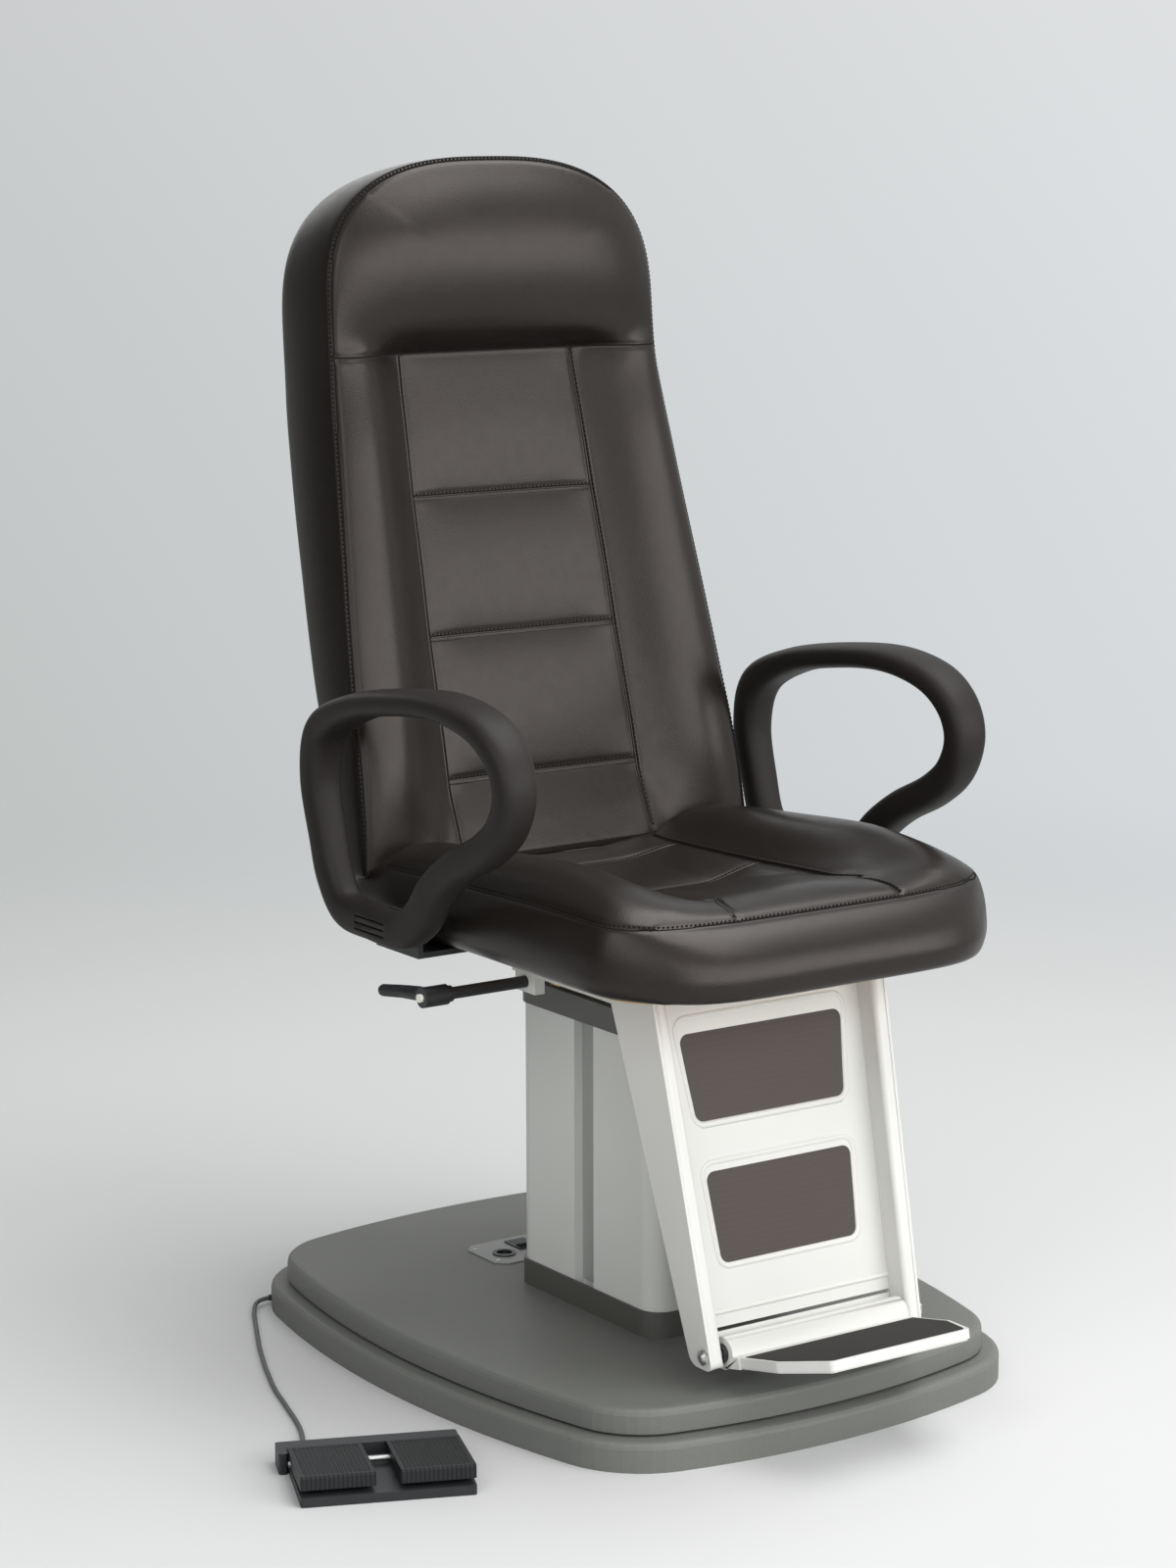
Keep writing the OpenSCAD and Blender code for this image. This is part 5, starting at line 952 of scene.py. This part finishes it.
for side, name in ((1, "armrest_right"), (-1, "armrest_left")):
    ring = np.stack([
        side * (arm_half_gap + arm_line[:, 3:4] * wide),
        middle[:, 0:1] - along[:, 1:2] * arm_line[:, 2:3] * thick,
        middle[:, 1:2] + along[:, 0:1] * arm_line[:, 2:3] * thick], -1)
    n, m = ring.shape[:2]
    spot = np.arange(n * m).reshape(n, m)
    faces = np.stack([spot, np.roll(spot, -1, 1), np.roll(np.roll(spot, -1, 1), -1, 0),
                      np.roll(spot, -1, 0)], -1).reshape(-1, 4)
    arm = drawn(ring.reshape(-1, 3) / 1000, faces, name + "_foam", foam_skin, "seat",
                "arm_foam")
    cutter = bpy.data.meshes.new(name + "_lines")
    slots = bmesh.new()
    for row in line_rows:
        at = Vector((side * line_x / 1000, line_y / 1000, (arm_foot_z + row) / 1000))
        bmesh.ops.create_cube(slots, size=1, matrix=Matrix.Translation(at)
                              @ Matrix.Diagonal([k / 1000 for k in line_size] + [1]))
    slots.to_mesh(cutter)
    slots.free()
    blade = new_object(name + "_lines", cutter)
    cut = arm.modifiers.new("lines", "BOOLEAN")
    cut.object, cut.solver = blade, "EXACT"
    baked(arm)
    bpy.data.objects.remove(blade)
    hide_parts(name)


# ---- Leg rest -----------------------------------------------------------------
# Folded steel sheet, powder coated white, with rounded rims and two windows.
white_coat, shader, place = new_finish("white_powder_coat", 0.36)
peel = noise(place, 260.0, 2.0)
wash = noise(place, 5.0)
tinted(shader, wash, "#c8cac6", "#d6d5d2")
glossed(shader, peel, 0.3, 0.44)
bumped(shader, peel, 0.15, 0.0002)
finish_nodes(white_coat, "seat_carrier", "legrest_frame", "foot_plate")


def on_panel(u, v, ahead=0.0):
    """Point of the leg rest's panel, so far along and up it from the foot hinge."""
    hinge_y, hinge_z, behind = -288, 97, 18.2 - ahead
    lean_sin, lean_cos = 0.2284, 0.9736
    return (u / 1000, (hinge_y + v * lean_sin + behind * lean_cos) / 1000,
            (hinge_z + v * lean_cos - behind * lean_sin) / 1000)


# Soft pressed rims round both windows.
rims, rim_radius, rim_gap, rim_corner = [], 0.0045, 4, 14
for w0, v0, w1, v1 in ((88.3, 86.5, 94.5, 186.7), (96.6, 233.8, 105.6, 338)):
    w0, v0, w1, v1 = w0 + rim_gap, v0 - rim_gap, w1 + rim_gap, v1 + rim_gap
    corners = ((-w0, v0, 180), (w0, v0, 270), (w1, v1, 0), (-w1, v1, 90))
    ring = []
    for u, v, start in corners:
        cu = u - math.copysign(rim_corner, u)
        cv = v + (rim_corner if start >= 180 else -rim_corner)
        for step in range(9):
            g = math.radians(start + step * 90 / 8)
            ring.append(Vector(on_panel(cu + rim_corner * math.cos(g),
                                        cv + rim_corner * math.sin(g), -3.4)))
    rims.append(ring + ring[:2])
rims = line_piece("legrest_window_rims", rims, welt_and_shade_tree, welt_and_shade_keys,
                  (rim_radius, white_coat))

# The panel's lower edge, turned down until it is close behind the hinge barrel.
lip = [on_panel(u, v, ahead) for ahead in (0, -3) for u, v in (
    (-119, 8), (119, 8), (120, 19.2), (-120, 19.2))]
drawn(lip, [(0, 1, 2, 3), (4, 5, 6, 7), (0, 1, 5, 4), (1, 2, 6, 5), (2, 3, 7, 6),
            (3, 0, 4, 7)], "legrest_lower_lip", white_coat, "seat", "white_coat",
      smooth=False)


def softened(part, width):
    """Rounds the sharp edges of a modelled part a little, as coating does."""
    nodes[part].modifiers.new("joined", "WELD").merge_threshold = 1e-6
    thin = nodes[part].modifiers.new("flat", "DECIMATE")
    thin.decimate_type = "DISSOLVE"
    thin.angle_limit = math.radians(1)
    edge = nodes[part].modifiers.new("edge", "BEVEL")
    edge.width, edge.segments = width, 2
    edge.limit_method, edge.angle_limit = "ANGLE", math.radians(50)
    edge.harden_normals = True


softened("legrest_frame", 0.0008)
softened("foot_plate", 0.0008)

# Inserts behind the windows: brown sheet with fine ribs across it, drawn at 3 mm
# where the real ones are nearer 1.5 mm, so that they show. The colour is a shade
# darker in the grooves between ribs, as painted shade.
ribbed, shader, place = new_finish("ribbed_brown_insert", 0.6)
shader.inputs["Specular IOR Level"].default_value = 0.35
rib_height_and_shade = add_node(shader, "ShaderNodeTexWave", {
    "Vector": place, "Scale": 52.0, "Distortion": 0.0}, bands_direction="Z").outputs[1]
speck = noise(place, 300.0)
tinted(shader, speck, mixed(rib_height_and_shade, "#443d3a", "#48413e"), "#463f3c")
bumped(shader, rib_height_and_shade, 0.12, 0.0001)
finish_nodes(ribbed, "legrest_pad_upper", "legrest_pad_lower")

# Mat on the foot plate: dark rubber sheet with a pebbled, non-slip skin.
mat_rubber, shader, place = new_finish("pebbled_rubber_mat", 0.75)
shader.inputs["Specular IOR Level"].default_value = 0.3
pebble = add_node(shader, "ShaderNodeTexVoronoi", {"Vector": place, "Scale": 380.0})
tinted(shader, pebble.outputs[0], "#24211f", "#1b1a19")
bumped(shader, pebble.outputs[0], 0.5, 0.0005, invert=True)
finish_nodes(mat_rubber, "foot_plate_mat")


# ---- Floor, backdrop and light ------------------------------------------------
# A pale sheet that fades into the backdrop well away from the chair. Broad soft
# lights stand in front and above, weaker ones on the left and behind.
floor_mesh = bpy.data.meshes.new("studio_floor")
floor_radius, ring_count = 9, 64
floor_mesh.from_pydata(
    [(floor_radius * math.cos(2 * math.pi * k / ring_count),
      floor_radius * math.sin(2 * math.pi * k / ring_count), 0)
     for k in range(ring_count)], [], [list(range(ring_count))])
floor = new_object("studio_floor", floor_mesh)
paper, shader, place = new_finish("pale_paper_floor", 0.9)
shader.inputs["Specular IOR Level"].default_value = 0.1
shader.inputs["Base Color"].default_value = linear("#c9caca")
tree = paper.node_tree
seen = add_node(tree, "ShaderNodeLightPath")
distance = add_node(tree, "ShaderNodeVectorMath", {0: place}, operation="LENGTH")
fade = add_node(tree, "ShaderNodeMapRange", {
    0: distance.outputs["Value"], 1: 1.2, 2: 3.6, 3: 0.0, 4: 1.0},
    interpolation_type="SMOOTHSTEP")
clear = add_node(tree, "ShaderNodeBsdfTransparent")
amount = add_node(tree, "ShaderNodeMath", {
    0: fade.outputs[0], 1: seen.outputs["Is Camera Ray"]}, operation="MULTIPLY")
tree.links.new(add_node(tree, "ShaderNodeMixShader", {
    0: amount.outputs[0], 1: shader.outputs[0], 2: clear.outputs[0]}).outputs[0],
    tree.nodes["Material Output"].inputs[0])
floor_mesh.materials.append(paper)

world = bpy.data.worlds.new("studio")
world.use_nodes = True
scene.world = world
tree = world.node_tree
tree.nodes.clear()
direction = add_node(tree, "ShaderNodeTexCoord").outputs["Generated"]
height = add_node(tree, "ShaderNodeSeparateXYZ", {0: direction})
climb = add_node(tree, "ShaderNodeMapRange", {0: height.outputs[2], 1: -0.2, 2: 0.03})
sideways = add_node(tree, "ShaderNodeVectorMath", {0: direction, 1: level},
                    operation="DOT_PRODUCT")
pan = add_node(tree, "ShaderNodeMapRange", {0: sideways.outputs["Value"],
                                            1: -0.16, 2: 0.16})
backdrop = mixed(climb.outputs[0], mixed(pan.outputs[0], "#bfc3c2", "#d5d9dc"),
                 mixed(pan.outputs[0], "#cbcdce", "#dfe1e3"))
facing = add_node(tree, "ShaderNodeVectorMath", {0: direction, 1: (0.2, -0.85, 0.48)},
                  operation="DOT_PRODUCT")
glow = add_node(tree, "ShaderNodeMapRange", {
    0: facing.outputs["Value"], 1: -0.45, 2: 0.75, 3: 0.08, 4: 0.75},
    interpolation_type="SMOOTHSTEP")
path = add_node(tree, "ShaderNodeLightPath")
behind = add_node(tree, "ShaderNodeMapRange", {0: add_node(
    tree, "ShaderNodeVectorMath", {0: direction, 1: -away},
    operation="DOT_PRODUCT").outputs["Value"], 1: 0.3, 2: 0.8})
mirrored = add_node(tree, "ShaderNodeMath", {
    0: path.outputs["Is Glossy Ray"], 1: behind.outputs[0]}, operation="MULTIPLY")
through = add_node(tree, "ShaderNodeMath", {
    0: mirrored.outputs[0], 1: path.outputs["Is Transmission Ray"]},
    operation="MAXIMUM")
open_to = add_node(tree, "ShaderNodeMath", {
    0: path.outputs["Is Camera Ray"], 1: through.outputs[0]}, operation="MAXIMUM")
sky = add_node(tree, "ShaderNodeBackground", {
    0: mixed(open_to.outputs[0], glow.outputs[0], backdrop)})
add_node(tree, "ShaderNodeOutputWorld", {0: sky.outputs[0]})

for name, place, size, power in (
        ("front_softbox", (0.8, -3.5, 1.7), (6.0, 1.8), 118),
        ("left_softbox", (-3.2, -1.6, 2.3), (2.6, 2.6), 40),
        ("top_softbox", (1.0, -0.4, 3.8), (3.4, 2.2), 108),
        ("rear_softbox", (0.8, 3.6, 2.4), (3.0, 1.6), 12)):
    lamp = bpy.data.lights.new(name, "AREA")
    lamp.shape = "RECTANGLE"
    lamp.size, lamp.size_y = size
    lamp.energy = power
    light = new_object(name, lamp)
    light.location = place
    aim = Vector((0, 0, 0.6)) - light.location
    light.rotation_euler = aim.to_track_quat("-Z", "Y").to_euler()

bpy.context.view_layer.update()
